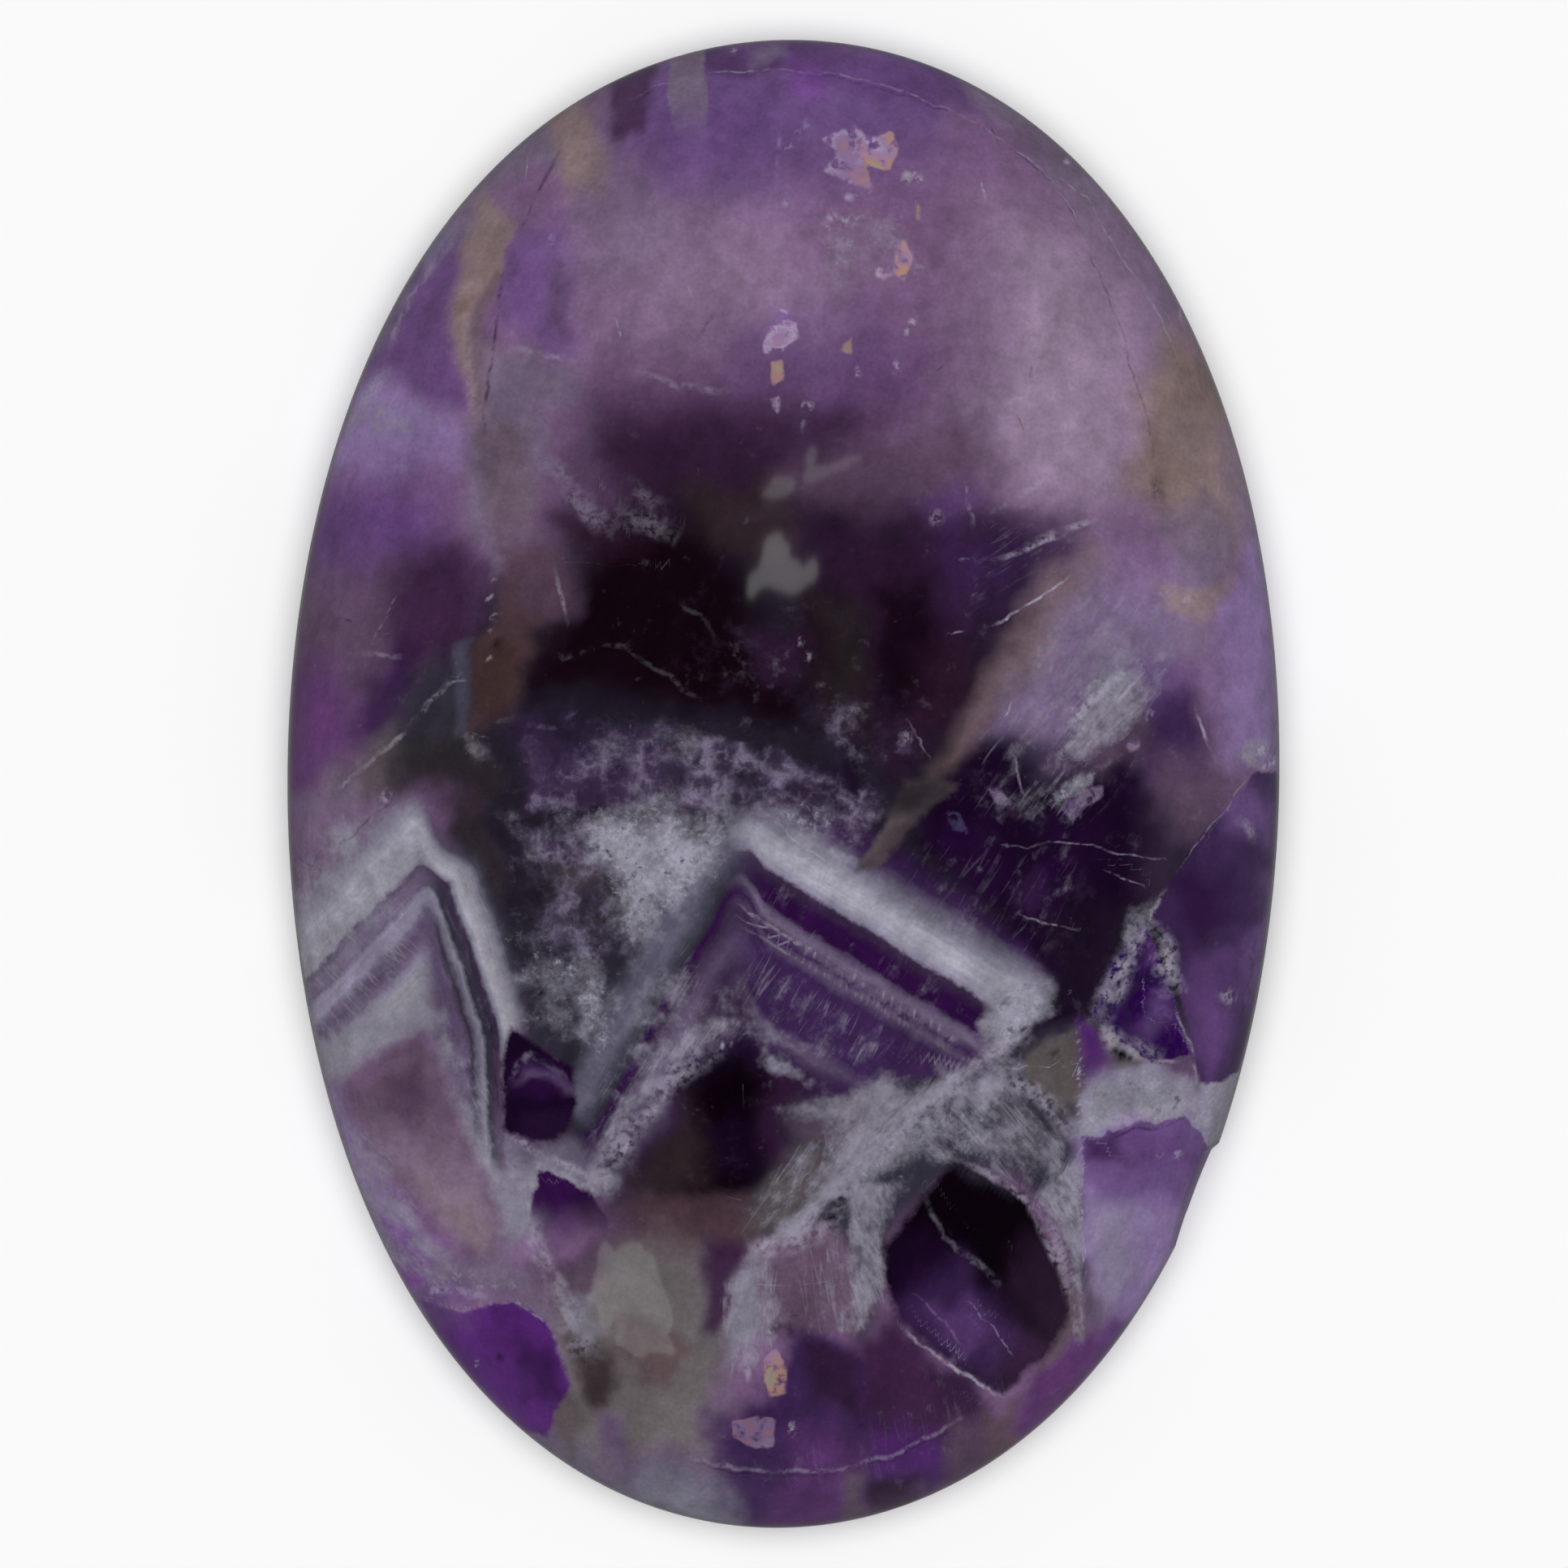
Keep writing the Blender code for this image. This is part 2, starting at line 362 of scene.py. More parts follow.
# Soft colour zones, laid over each other in this order: tint, softness of the edge, strength, corners.
softZones = [
    # the whole stone, then its upper half
    ("mauve", 3.0, 1, [(-16, 24), (16, 24), (16, -24), (-16, -24)]),
    ("inkGrey", 1.6, 1, [(-8.6, 6.6), (-5.4, 8), (-4, 9.4), (-1, 10.2), (2, 9.4), (5.6, 8.4),
        (8.4, 6.4), (12, 2), (13.4, -1), (15.6, -4), (13, -8.6), (9, -7.8), (8.8, -11.6), (6, -12),
        (3, -13.4), (-1, -13.4), (-5, -14), (-6.4, -12), (-8.4, -10.4), (-8.4, -5), (-9.6, -1),
        (-11.6, 1), (-10.8, 3.5), (-9.4, 6)]),
    ("softViolet", 1.8, 0.9, [(-5, 23), (6, 23), (4.5, 19.5), (1, 18.4), (-1.2, 17.6), (-4, 17.6)]),
    ("violet", 0.5, 0.8, [(-2.3, 22.8), (0.5, 23), (4.5, 22.4), (7, 21.3), (6, 19.8), (4.6, 20.4),
        (3, 21), (1.5, 21.3), (0, 21.5), (-2.3, 21.4)]),
    ("plumSoft", 0.4, 0.45, [(-2.2, 22.4), (-0.6, 22.2), (-0.2, 21.6), (-2.2, 21.5)]),
    ("mauveGrey", 0.4, 0.8, [(-1, 22.5), (-0.1, 22.4), (0, 22), (-0.8, 21.8)]),
    ("orchid", 0.5, 0.7, [(0.1, 22), (0.8, 22.1), (1, 21.4), (0.6, 20.7), (0, 20.7)]),
    ("violet", 1.2, 0.4, [(-4.4, 20.4), (-2.3, 20.9), (0, 21.1), (0.1, 20), (-0.6, 18.4),
        (-3.6, 18.2)]),
    ("mauveGrey", 0.5, 0.9, [(5, 22), (8, 20.6), (10, 18.3), (9.3, 17.4), (7.6, 18.9), (5.9, 20)]),
    ("mauvePale", 2.6, 0.6, [(-5, 17), (-1, 16.8), (2.4, 15.2), (1.5, 13.6), (-2, 13), (-5, 13.4)]),
    ("mauve", 1.2, 0.8, [(4.6, 20.4), (7, 19.6), (7.4, 17.2), (6, 14.6), (4.6, 14.6)]),
    ("mauvePale", 2.0, 1, [(6.8, 17.4), (9.2, 17.2), (11, 13.6), (11.3, 9), (9.6, 7.4), (7, 9.2),
        (5.6, 11), (5.9, 14)]),
    ("mauveGrey", 0.9, 0.6, [(9.6, 18), (12.2, 15), (13.2, 12.6), (11.8, 12.8), (10.4, 15.2),
        (9.2, 16.8)]),
    ("tan", 0.9, 1, [(12, 13.6), (13.3, 12.4), (14.1, 10.2), (14.3, 8), (13, 7.2), (11.5, 7.4),
        (10.7, 8.6), (10.9, 10.2), (11.1, 11.8)]),
    ("ochre", 0.9, 0.6, [(10.9, 10), (11.6, 10), (11.9, 8.6), (11.2, 7.8), (10.7, 8.6)]),
    ("ochre", 0.8, 0.45, [(12, 12.8), (12.8, 12.2), (12.9, 10.8), (12.1, 10.8)]),
    ("lilac", 0.8, 0.9, [(13.5, 10.4), (14.9, 8), (15.6, 2), (15.4, 0.2), (13.4, 0.9), (12.9, 2.8),
        (12.8, 5), (13.6, 7)]),
    ("mauveGrey", 0.5, 0.7, [(11.2, 7.8), (12.6, 8.6), (13.4, 8), (13, 6.6), (11.6, 6.8)]),
    # upper left: grey streaks between violet panels
    ("mauveGrey", 0.6, 1, [(-10.4, 17.6), (-7.4, 20), (-5.8, 21), (-6.2, 18.9), (-7.3, 18.6),
        (-8.4, 17.9), (-9, 16.9)]),
    ("mauve", 0.6, 0.9, [(-8.3, 18), (-7.3, 18.8), (-6.4, 18.4), (-6.3, 17), (-8.2, 16.8)]),
    ("softViolet", 0.6, 0.7, [(-8.2, 17), (-6.4, 17.1), (-6.2, 15), (-6.2, 13.6), (-7, 13.2),
        (-8, 13.9), (-8.3, 15.2)]),
    ("violet", 0.8, 0.4, [(-8.1, 16.3), (-7.2, 15.8), (-6.9, 14.9), (-7.4, 14.2), (-8, 14.8)]),
    ("mauveDark", 0.4, 0.5, [(-7, 15.6), (-6.3, 15.4), (-6.2, 14.2), (-6.6, 13.9)]),
    ("tan", 0.5, 0.95, [(-6.9, 20.5), (-5.6, 20.9), (-5.1, 19.6), (-5, 18.4), (-5.6, 17.6),
        (-6.3, 17.7), (-6.4, 18.8)]),
    ("mauveGrey", 0.8, 0.5, [(-5.5, 21.2), (-4.95, 21.4), (-4.9, 19.6), (-4.5, 18.4), (-3.7, 17.2),
        (-3.8, 15.7), (-5.2, 15.3), (-6.1, 15.2), (-6.2, 17.2), (-5.3, 18.4)]),
    ("plumSoft", 0.35, 0.8, [(-4.9, 21.8), (-3.5, 22.5), (-3.5, 20.5), (-3.9, 19.6), (-4.8, 19.5)]),
    ("brown", 0.4, 0.5, [(-8.8, 13.8), (-8.2, 13.6), (-8.2, 11), (-8.9, 10.6)]),
    ("tan", 0.35, 0.95, [(-10, 16.4), (-8.6, 18), (-8.3, 17), (-8.4, 15.6), (-8.6, 13.8), (-8.75, 12.2),
        (-8.8, 10), (-9.4, 9.8), (-9.35, 11.7), (-9.5, 13.2), (-9.75, 14.9)]),
    ("brownMauve", 0.25, 0.8, [(-8.7, 15.6), (-8.3, 15.6), (-8.4, 14.4), (-8.6, 13), (-8.8, 11.6),
        (-9.05, 10.2), (-9.2, 11.4), (-8.95, 13), (-8.8, 14.4)]),
    ("ochre", 0.3, 0.9, [(-9.6, 14.8), (-9, 14.9), (-8.8, 14.5), (-9.3, 14.2)]),
    ("violet", 0.6, 0.75, [(-9.85, 16.6), (-9.7, 14.9), (-9.5, 13.3), (-9.4, 10.9), (-10.6, 11.1),
        (-12, 12.2), (-12.8, 13), (-12, 14.4), (-11, 15.7), (-10.3, 16.5)]),
    ("blueGrey", 0.5, 0.7, [(-10.2, 17.3), (-9.5, 17), (-10.6, 15.6), (-11.9, 13.5), (-12.6, 13.3),
        (-11.4, 15.9)]),
    ("lilac", 0.9, 1, [(-13.9, 11), (-13, 12.9), (-11.9, 12.2), (-10.5, 11), (-9.7, 10.2), (-9.8, 9.1),
        (-12, 8.9), (-14.5, 8.9)]),
    ("mauveGrey", 0.6, 1, [(-9.6, 10.3), (-8.8, 11), (-8.6, 13.2), (-6.2, 12.9), (-5.2, 11.4),
        (-5.4, 8.8), (-7, 9), (-7.6, 7.2), (-8.9, 6.2), (-9.6, 8)]),
    ("tanDark", 0.5, 0.5, [(-9.4, 10.4), (-8.3, 10.8), (-7.4, 9.8), (-7.4, 7.4), (-8.4, 6.6), (-9, 8)]),
    ("mauve", 0.5, 0.8, [(-6.9, 11), (-5.4, 11.4), (-5.5, 9), (-6.4, 9.2)]),
    # left side
    ("violet", 1.2, 0.95, [(-15, 8.6), (-11.6, 8.8), (-10.4, 8), (-10.1, 6.4), (-11, 5.6),
        (-15.2, 5.6)]),
    ("mauveDark", 1.2, 0.8, [(-15.4, 5.8), (-11, 6.2), (-10, 4), (-11, 3.2), (-13, 3.6), (-15.5, 3)]),
    ("plumSoft", 0.9, 0.9, [(-11.6, 6.2), (-9.6, 7), (-9.2, 5), (-9.2, 3.4), (-10, 3), (-11.8, 3.2),
        (-12, 4.6)]),
    ("deepViolet", 0.8, 0.85, [(-12.8, 3.6), (-11.2, 3.8), (-10.8, 2.8), (-11.4, 1.6), (-12.4, 1),
        (-13.2, 1.6)]),
    ("magenta", 0.9, 0.9, [(-15.5, 4), (-13.6, 4), (-12.9, 2.2), (-13, 0.6), (-13.6, -0.7),
        (-15.5, -1.4)]),
    ("slateDark", 0.8, 0.95, [(-11.4, 2.9), (-9.6, 3), (-9.1, 1.4), (-9.3, 0.2), (-11.2, 0.2),
        (-12, 1.2)]),
    ("oliveDark", 0.9, 0.9, [(-11.8, 1.2), (-9.2, 1.4), (-7.8, 0.8), (-7.9, -1.2), (-9.4, -1.6),
        (-10.6, -0.5), (-12, -0.2)]),
    ("olive", 0.8, 0.7, [(-13.4, 0.5), (-11.7, 1.5), (-11.4, 0.2), (-12, -0.6), (-13.8, -0.7)]),
    ("mauveGrey", 0.7, 0.7, [(-14.7, -0.2), (-12.5, 0.2), (-12.3, -0.8), (-13.6, -2), (-14.8, -1.8)]),
    # the dark heart and what borders it
    ("plumSoft", 3.0, 0.9, [(-5.2, 11.2), (-3.4, 12.2), (-1, 12.6), (0.6, 11.6), (2.4, 12.4), (4, 11.4),
        (3.4, 10), (1, 8.4), (-2, 8), (-4.2, 8.2), (-5.4, 9.4)]),
    ("violet", 1.6, 0.5, [(-1, 13.6), (0.8, 14.4), (2.6, 13.4), (3.4, 12), (1, 11.4), (-0.8, 12)]),
    ("plum", 2.0, 0.85, [(-5, 10.2), (-3.4, 11), (-1.4, 10.4), (0, 9.6), (-1, 8.6), (-3.4, 8.2),
        (-5, 8.8)]),
    ("plum", 0.9, 0.6, [(0.4, 11.2), (2.6, 11), (2.6, 10.3), (0.8, 9.8)]),
    ("brownDark", 0.6, 0.9, [(-2.6, 8.5), (-1, 8.8), (0.2, 8.5), (0, 7.3), (-2.4, 6.8)]),
    ("plum", 1.4, 1, [(0.3, 8.3), (2.6, 8.6), (5.4, 8.9), (6, 7.7), (8, 7.4), (8.5, 6.6), (7, 5.4),
        (6.3, 4.3), (5.2, 2.4), (4.2, 0.5), (3, 0.6), (1.4, 3), (0.4, 6)]),
    ("violet", 0.8, 0.55, [(4, 8.6), (5.8, 9.3), (6.2, 8.4), (5, 7.9)]),
    ("darkViolet", 1.4, 0.8, [(4.6, 7.6), (8.2, 7.2), (8.3, 6.4), (6.6, 5.2), (5, 5.4)]),
    ("mauveDark", 0.9, 0.85, [(-0.4, 8.5), (1.6, 9.8), (3.4, 10.5), (5.6, 11), (6.6, 10), (5.4, 9.1),
        (3, 8.9), (1, 8.3)]),
    ("heart", 1.1, 1, [(-6.4, 7.3), (-4.4, 7.8), (-2.4, 7.6), (-1, 6.6), (-0.8, 4.8), (0, 4.2), (1, 3),
        (0.6, 2), (-2, 2.2), (-5.3, 2.5), (-7.4, 0.9), (-7.4, 3), (-6.8, 5.4)]),
    ("plumRed", 0.7, 0.6, [(-7.1, 7.8), (-5, 7.9), (-3.4, 7.6), (-4.4, 6.6), (-6.4, 6.6)]),
    ("heartWarm", 0.8, 0.9, [(0.2, 6.4), (1.6, 6.2), (2.6, 4.4), (3, 2.2), (2.2, 1.4), (1.2, 3),
        (0.4, 4.6)]),
    ("plum", 0.5, 0.9, [(-0.9, 5), (0.7, 5), (0.8, 4), (0.2, 3.2), (-0.7, 3.6)]),
    ("heart", 0.8, 0.9, [(2.6, 6.6), (4.4, 6.4), (5, 4.6), (4.6, 3), (3.6, 2.4), (2.8, 4)]),
    ("oliveDark", 0.8, 0.7, [(1, 5.8), (2, 5.8), (2.7, 4), (2.8, 2.4), (2, 2), (1.6, 3.8)]),
    ("plumRed", 1.0, 0.8, [(4.2, 4.2), (5.6, 4.2), (6.2, 3.4), (5.4, 1.6), (4.4, 2)]),
    ("brown", 0.5, 0.9, [(-8.75, 6.8), (-7.4, 6.8), (-7.1, 5.4), (-7.3, 3.4), (-7.7, 1.2), (-9, 0.9),
        (-8.8, 3), (-8.7, 4.6)]),
    ("rust", 0.6, 0.8, [(-8.7, 3.7), (-7.6, 3.9), (-7.4, 2.4), (-7.9, 1.5), (-8.8, 1.8)]),
    ("mauveDark", 0.6, 0.6, [(-8.8, 7.4), (-7.4, 7.4), (-6.7, 5.6), (-6.5, 4.8), (-7.4, 4.9),
        (-8.4, 5.6)]),
    ("slate", 0.3, 0.8, [(-9.7, 3.6), (-8.95, 3.9), (-8.9, 2.6), (-9.05, 1.1), (-9.6, 1)]),
    # between the heart and the right rim: a pale fractured wedge
    ("brown", 0.8, 0.9, [(5.1, 0.4), (5.6, 1.8), (6.6, 3.5), (7.8, 5.2), (9, 6.6), (9.4, 5.6),
        (8.2, 3.8), (7, 2), (6.2, 0.8)]),
    ("mauveGrey", 0.7, 0.9, [(7.2, 3.6), (8.4, 5.2), (9.6, 7.2), (12.6, 7.6), (12.8, 4.4), (11.6, 2.6),
        (9.6, 2.8), (8.4, 1.4), (7, 1.6)]),
    ("mauve", 0.8, 0.7, [(9.4, 8), (11.2, 8), (11.4, 6.4), (10, 5.6), (9.2, 6.6)]),
    ("mauveDark", 0.5, 0.7, [(7.8, 2.6), (9, 3.5), (9.6, 3.1), (8.7, 1.5), (8, 1.4)]),
    # mauve haze behind the fractured wedge, and the tan streak beside it
    ("lilac", 1.4, 0.42, [(6.4, 1.4), (7.8, 4), (9.4, 6.6), (11.6, 6.4), (12.2, 4), (10.6, 1.6),
        (9.2, 0.2), (8, 1)]),
    ("tan", 0.7, 0.4, [(5.1, 0.5), (5.8, 2.4), (7.4, 5), (9, 7), (9.6, 6.6), (7.9, 4.1), (6.6, 2),
        (5.6, 0.6)]),
    ("tan", 0.5, 0.8, [(11, 6.2), (13.2, 6.6), (13, 5.5), (12.4, 5.1), (11.4, 5.4)]),
    ("mauveDark", 0.6, 0.7, [(9, 2.2), (11, 2.4), (11.4, 0.6), (10, -0.4), (8.4, 0.4)]),
    ("softViolet", 0.6, 0.8, [(10.8, 3.4), (12.2, 3.2), (12.4, 2), (11.4, 1.6), (10.6, 2.2)]),
    ("darkViolet", 0.6, 0.95, [(11.2, 1.9), (12.4, 2.4), (13, 1), (13.6, 0.4), (12.6, -0.4),
        (11, -0.4)]),
    ("ink", 0.6, 1, [(5.2, 0.1), (6.3, 0.9), (7.3, 1), (8.1, 0), (8.6, -0.6), (9.6, -0.4), (10.6, 0.5),
        (11.2, -0.2), (11.4, -2), (11.1, -3.6), (10.6, -4.4), (9.6, -5.7), (9, -6.9), (8, -7),
        (7.4, -5.4), (6.4, -4), (5.3, -2.9), (4.2, -1.8), (4.6, -0.7)]),
    ("oliveBlack", 0.7, 0.3, [(8, -4.4), (9.6, -4), (10.6, -4.4), (9.4, -6.4), (8.6, -7), (7.8, -6.6)]),
    ("deepViolet", 0.6, 0.3, [(4.4, -1.3), (6.2, -1.4), (7, -2.6), (7, -3.7), (6.4, -4), (5.2, -2.8)]),
    ("deepViolet", 0.6, 0.2, [(8.4, -1.4), (9.8, -1.6), (9.4, -3.6), (8, -4.6), (7.4, -3.6)]),
    ("violet", 0.5, 0.15, [(7, -3.1), (8, -2.9), (8.2, -4), (7, -4.2)]),
    ("plumDusk", 1.0, 0.8, [(11.4, -0.2), (13.4, 0.1), (13.6, -0.5), (12.6, -1.8), (11.9, -2.8),
        (11.1, -3.9), (11.2, -1.8)]),
    ("mauveMid", 1.0, 0.8, [(11.6, 0.6), (13.4, 0.8), (13.8, 0), (12.8, -1.2), (12, -1.4)]),
    # between the chevrons: dark ground under the frost
    ("inkGrey", 0.7, 1, [(-8.4, 1.2), (-7.6, 1.6), (-5, 2.2), (-2, 2.3), (1, 2), (3, 0.9), (3.6, -0.4),
        (2.2, -2.4), (-0.9, -1.4), (-2.4, -2.4), (-4.6, -6.6), (-5.4, -8.4), (-8, -7.4), (-8.7, -6),
        (-8.6, -2)]),
    ("darkViolet", 0.6, 0.5, [(-7.6, 1.3), (-5, 1.6), (-3.6, 0.4), (-4.4, -0.7), (-7.4, -0.5)]),
    ("ink", 0.5, 0.7, [(0, 1.3), (2, 1.2), (3, 0.2), (2.4, -1.2), (0.4, -0.7), (-0.9, 0.3)]),
    ("oliveBlack", 0.6, 0.95, [(-7.7, -2.2), (-5.4, -2.5), (-4.8, -3.4), (-5.1, -4.6), (-7.6, -3.7)]),
    ("olive", 0.5, 0.35, [(-7.2, -2.5), (-5.9, -2.7), (-5.6, -3.4), (-6.9, -3.4)]),
    ("slateDark", 0.6, 0.4, [(-8.2, -3.8), (-5.2, -4.2), (-4.8, -5.4), (-6.2, -6), (-8.3, -5.6)]),
    ("slateDark", 0.9, 0.8, [(-8.3, -5.4), (-5, -5.6), (-4.4, -6.8), (-5.4, -8.2), (-7.2, -7.9),
        (-8.4, -7)]),
    ("oliveDark", 0.5, 0.9, [(-9.6, -1.4), (-8.6, -1.4), (-8.3, -4), (-8.3, -5.6), (-8.9, -5),
        (-9.6, -2.8)]),
    # inside the left chevron, outward to the rim
    ("mauve", 1.0, 1, [(-15.6, -5.2), (-13.8, -5.2), (-11, -2.6), (-10, -3.2), (-8.6, -8), (-8.2, -13),
        (-10.4, -15.4), (-12.8, -14), (-15, -8)]),
    ("lilacPale", 0.9, 0.5, [(-14.9, -7.2), (-13.2, -6.8), (-11.6, -5.8), (-11.6, -7), (-13.4, -8.4),
        (-14.4, -9)]),
    ("lilac", 0.7, 0.9, [(-14.6, -8), (-13.4, -9.4), (-12.8, -11.2), (-11, -13.4), (-9.6, -14.8),
        (-11, -15.4), (-13.2, -13), (-14.6, -10)]),
    ("milkGrey", 0.6, 0.9, [(-9.9, -8.2), (-9.1, -8.4), (-8.4, -11), (-7.6, -12.6), (-8.2, -14),
        (-8.9, -12.6), (-9.5, -10.4)]),
    ("mauveGrey", 0.6, 0.95, [(-12.2, -13), (-9.6, -14.6), (-8.4, -13.4), (-7.2, -14.6), (-6, -17.4),
        (-7, -17), (-8.2, -15.5), (-10.2, -15.6), (-11.6, -14.6)]),
    ("mauve", 0.4, 0.7, [(-8.3, -12.9), (-7.8, -13), (-7.6, -14.4), (-8.1, -14.4)]),
    # under the right chevron and round the dark oval
    ("darkViolet", 0.7, 1, [(-3.5, -5), (-1.2, -2.2), (0, -2.9), (6.7, -7), (5.4, -8.7), (2.4, -9.3),
        (0.8, -8.8), (-2.2, -8), (-5, -11.8), (-5.6, -11.4), (-4.8, -8)]),
    ("greyLilac", 0.5, 0.9, [(-5.3, -9.2), (-3.4, -5.6), (-2.6, -6), (-1.2, -7.2), (-3.4, -8.4),
        (-4.8, -10.6), (-5.7, -12.3), (-6.3, -11.6), (-5.8, -10)]),
    ("slateDark", 0.5, 0.9, [(-6.4, -8.3), (-5.3, -8.3), (-5, -9.6), (-5.5, -11.8), (-6.2, -11.9),
        (-7.2, -11.2), (-6.4, -10.4)]),
    ("greyLilac", 0.3, 0.8, [(-8.4, -10.3), (-7.6, -10.7), (-6.4, -10.6), (-5.6, -12.2), (-7.3, -11.5),
        (-7.6, -12.7), (-8.3, -12.4)]),
    ("night", 1.1, 1, [(-2.2, -8), (-1.1, -7.45), (0, -7.9), (0.9, -8.6), (1, -10), (0.6, -11),
        (-0.5, -11.8), (-1, -12.8), (-2.6, -13.5), (-4.3, -13), (-5, -12.2), (-4.6, -11), (-3.8, -9.8),
        (-3, -8.8)]),
    ("brownDark", 1.2, 0.8, [(-3.4, -9.4), (-2.7, -10.4), (-3, -12.4), (-4.4, -13.2), (-5.3, -12.6),
        (-4.4, -10.4)]),
    ("plumSoft", 0.9, 0.7, [(0.1, -8.2), (1.3, -8.8), (1.2, -10.4), (0.6, -11.4), (-0.3, -11.8),
        (-0.4, -10), (0, -9)]),
    ("ink", 0.5, 0.6, [(-2.6, -9.8), (-0.6, -9.6), (-0.8, -11.6), (-2.4, -12)]),
    ("brown", 0.6, 0.9, [(-5.2, -12.8), (-3.4, -13), (-1.4, -12.6), (-0.6, -13.6), (-1.4, -14.6),
        (-5.4, -14.6)]),
    ("oliveGrey", 0.8, 1, [(-6.6, -14.6), (-5, -13.9), (-2.9, -14.3), (-1.6, -16.8), (-2, -20.8),
        (-6.9, -20.4), (-6.5, -17.4)]),
    ("plumSoft", 0.5, 0.9, [(-3, -14), (-1.5, -14.2), (-1.8, -16), (-2.4, -17), (-3, -16.6)]),
    ("tanDark", 0.4, 0.8, [(-4.7, -16), (-4, -16.4), (-3.2, -17.2), (-3.6, -18.6), (-5, -17.6)]),
    ("brownDark", 0.45, 0.9, [(-6.1, -17.3), (-5.2, -17.2), (-4.9, -18), (-5, -18.9), (-5.8, -19),
        (-6.1, -18.2)]),
    ("mauveDark", 0.5, 0.8, [(-7.4, -14.2), (-5.4, -13.4), (-5.2, -14.8), (-6, -16.6), (-6.8, -16)]),
    ("milkGrey", 0.4, 0.6, [(-6.6, -15.6), (-5.6, -15.3), (-5.2, -16.8), (-5.6, -17.4), (-6.2, -16.6)]),
    # painted light: the paler grey band along the lower rim, outside the back's edge, where the bevel
    # shows through the crystal
    ("greyLilac", 0.9, 1, [(-8, -19.9), (-5.4, -20.6), (-3, -20.8), (-0.4, -21), (1, -21.8), (1, -23.4),
        (-3, -23.2), (-8, -21.6)]),
    ("milkGrey", 0.7, 0.9, [(-3.8, -21.3), (-1, -21.5), (-0.2, -23), (-3.8, -22.8)]),
    ("violet", 0.4, 0.5, [(-5.6, -19.1), (-4.6, -19.4), (-4.6, -20.6), (-5.6, -20.2)]),
    # bottom middle: silk over violet, then the violet foot
    ("mauveMid", 0.4, 1, [(-1.2, -14.4), (0.6, -13.7), (1.8, -13.4), (2.8, -14.2), (2.9, -15.2),
        (2, -16.6), (0.6, -17.2), (-0.8, -16.8), (-1.7, -17.6), (-1.9, -15.4)]),
    ("milkGrey", 0.5, 0.8, [(-1.9, -15), (-1, -14.6), (-0.8, -16.8), (-1.6, -17.8), (-2, -16.6)]),
    ("darkViolet", 0.6, 1, [(0.2, -16.9), (2.2, -16.8), (3.2, -15.8), (3.6, -16.8), (6.6, -18.6),
        (5.8, -20.6), (2.8, -22), (0.4, -23), (-1.9, -21), (-2, -19.2), (-0.7, -18.4)]),
    ("plum", 0.5, 0.8, [(0.5, -17.1), (2.2, -17.2), (2.3, -18.8), (0.8, -18.8)]),
    ("plumSoft", 0.7, 0.95, [(2, -16.2), (3.4, -15.9), (3.8, -16.9), (6.4, -18.7), (4.4, -19.8),
        (2.6, -18.8)]),
    ("magenta", 0.8, 0.6, [(-0.4, -19.6), (2.6, -19.4), (2.9, -22.4), (0, -22.8)]),
    ("brightViolet", 0.6, 0.6, [(2.9, -18.8), (4.6, -19.4), (5.4, -20.4), (3, -20.9)]),
    ("plum", 0.4, 0.8, [(2.9, -20.9), (4.6, -20.8), (4, -22), (3, -22)]),
    ("olive", 0.5, 0.6, [(1.9, -20.7), (2.8, -20.7), (2.8, -22.4), (2.1, -22.4)]),
    ("mauveDark", 0.5, 0.8, [(5, -19.2), (7, -18.3), (7.7, -19.2), (6.4, -20.8), (5.2, -20.8)]),
    ("tanDark", 0.4, 0.6, [(6.2, -18.6), (7.1, -18.4), (7.4, -19.4), (6.4, -20)]),
    # lower right: frost and grey between the fracture and the rim
    ("slateDark", 0.6, 1, [(0.8, -9.2), (2.4, -9.3), (5.4, -8.6), (7.3, -7.3), (9, -7.1), (9, -16.9),
        (8.7, -15.4), (8, -13.6), (7.2, -12.3), (5.3, -11.3), (4, -12.2), (3, -13.8), (2.9, -15.2),
        (2.2, -16.2), (1.7, -14), (1.4, -13.3), (0.4, -13.5), (-1, -14.3), (-1.2, -13), (0.6, -11)]),
    ("olive", 0.5, 0.7, [(-0.6, -12), (0.5, -10.9), (1.3, -10.4), (1.7, -11.6), (0.6, -12.8),
        (-0.6, -13.8), (-1.6, -13.8)]),
    ("mauveMid", 0.5, 0.5, [(1, -9.2), (2.8, -9.2), (3.6, -9.8), (2.2, -11), (1, -10.2)]),
    ("olive", 0.3, 1, [(6.9, -7.9), (7.4, -7.5), (8.85, -7.3), (8.85, -9.5), (8.2, -9.7), (7, -8.9)]),
    ("slateDark", 0.4, 0.6, [(4.5, -9.3), (5.4, -8.9), (6.6, -9.4), (6.8, -10.4), (5.4, -10.6),
        (4.4, -10.2)]),
    ("slateDark", 0.3, 0.6, [(8.1, -9.6), (8.9, -10.6), (9, -12), (9, -13.4), (8.5, -12.4),
        (8.1, -11.2)]),
    ("brownMauve", 0.3, 1, [(7.2, -17.9), (8, -17.3), (8.8, -16.8), (8.7, -15.4), (8.2, -15),
        (7.6, -16.4)]),
    ("magenta", 0.5, 1, [(7.3, -17.9), (8.4, -16.9), (10.8, -15.9), (9.4, -18.2), (7.8, -19.8),
        (7.2, -19)]),
    ("violet", 0.4, 0.9, [(8.8, -16.9), (10, -16.4), (9.8, -17.2), (9.1, -17.5)]),
    ("lilac", 0.5, 1, [(9, -10.4), (12.6, -9.8), (13.6, -10.8), (12.6, -14), (10.4, -17), (9.6, -16.4),
        (8.9, -14.6)]),
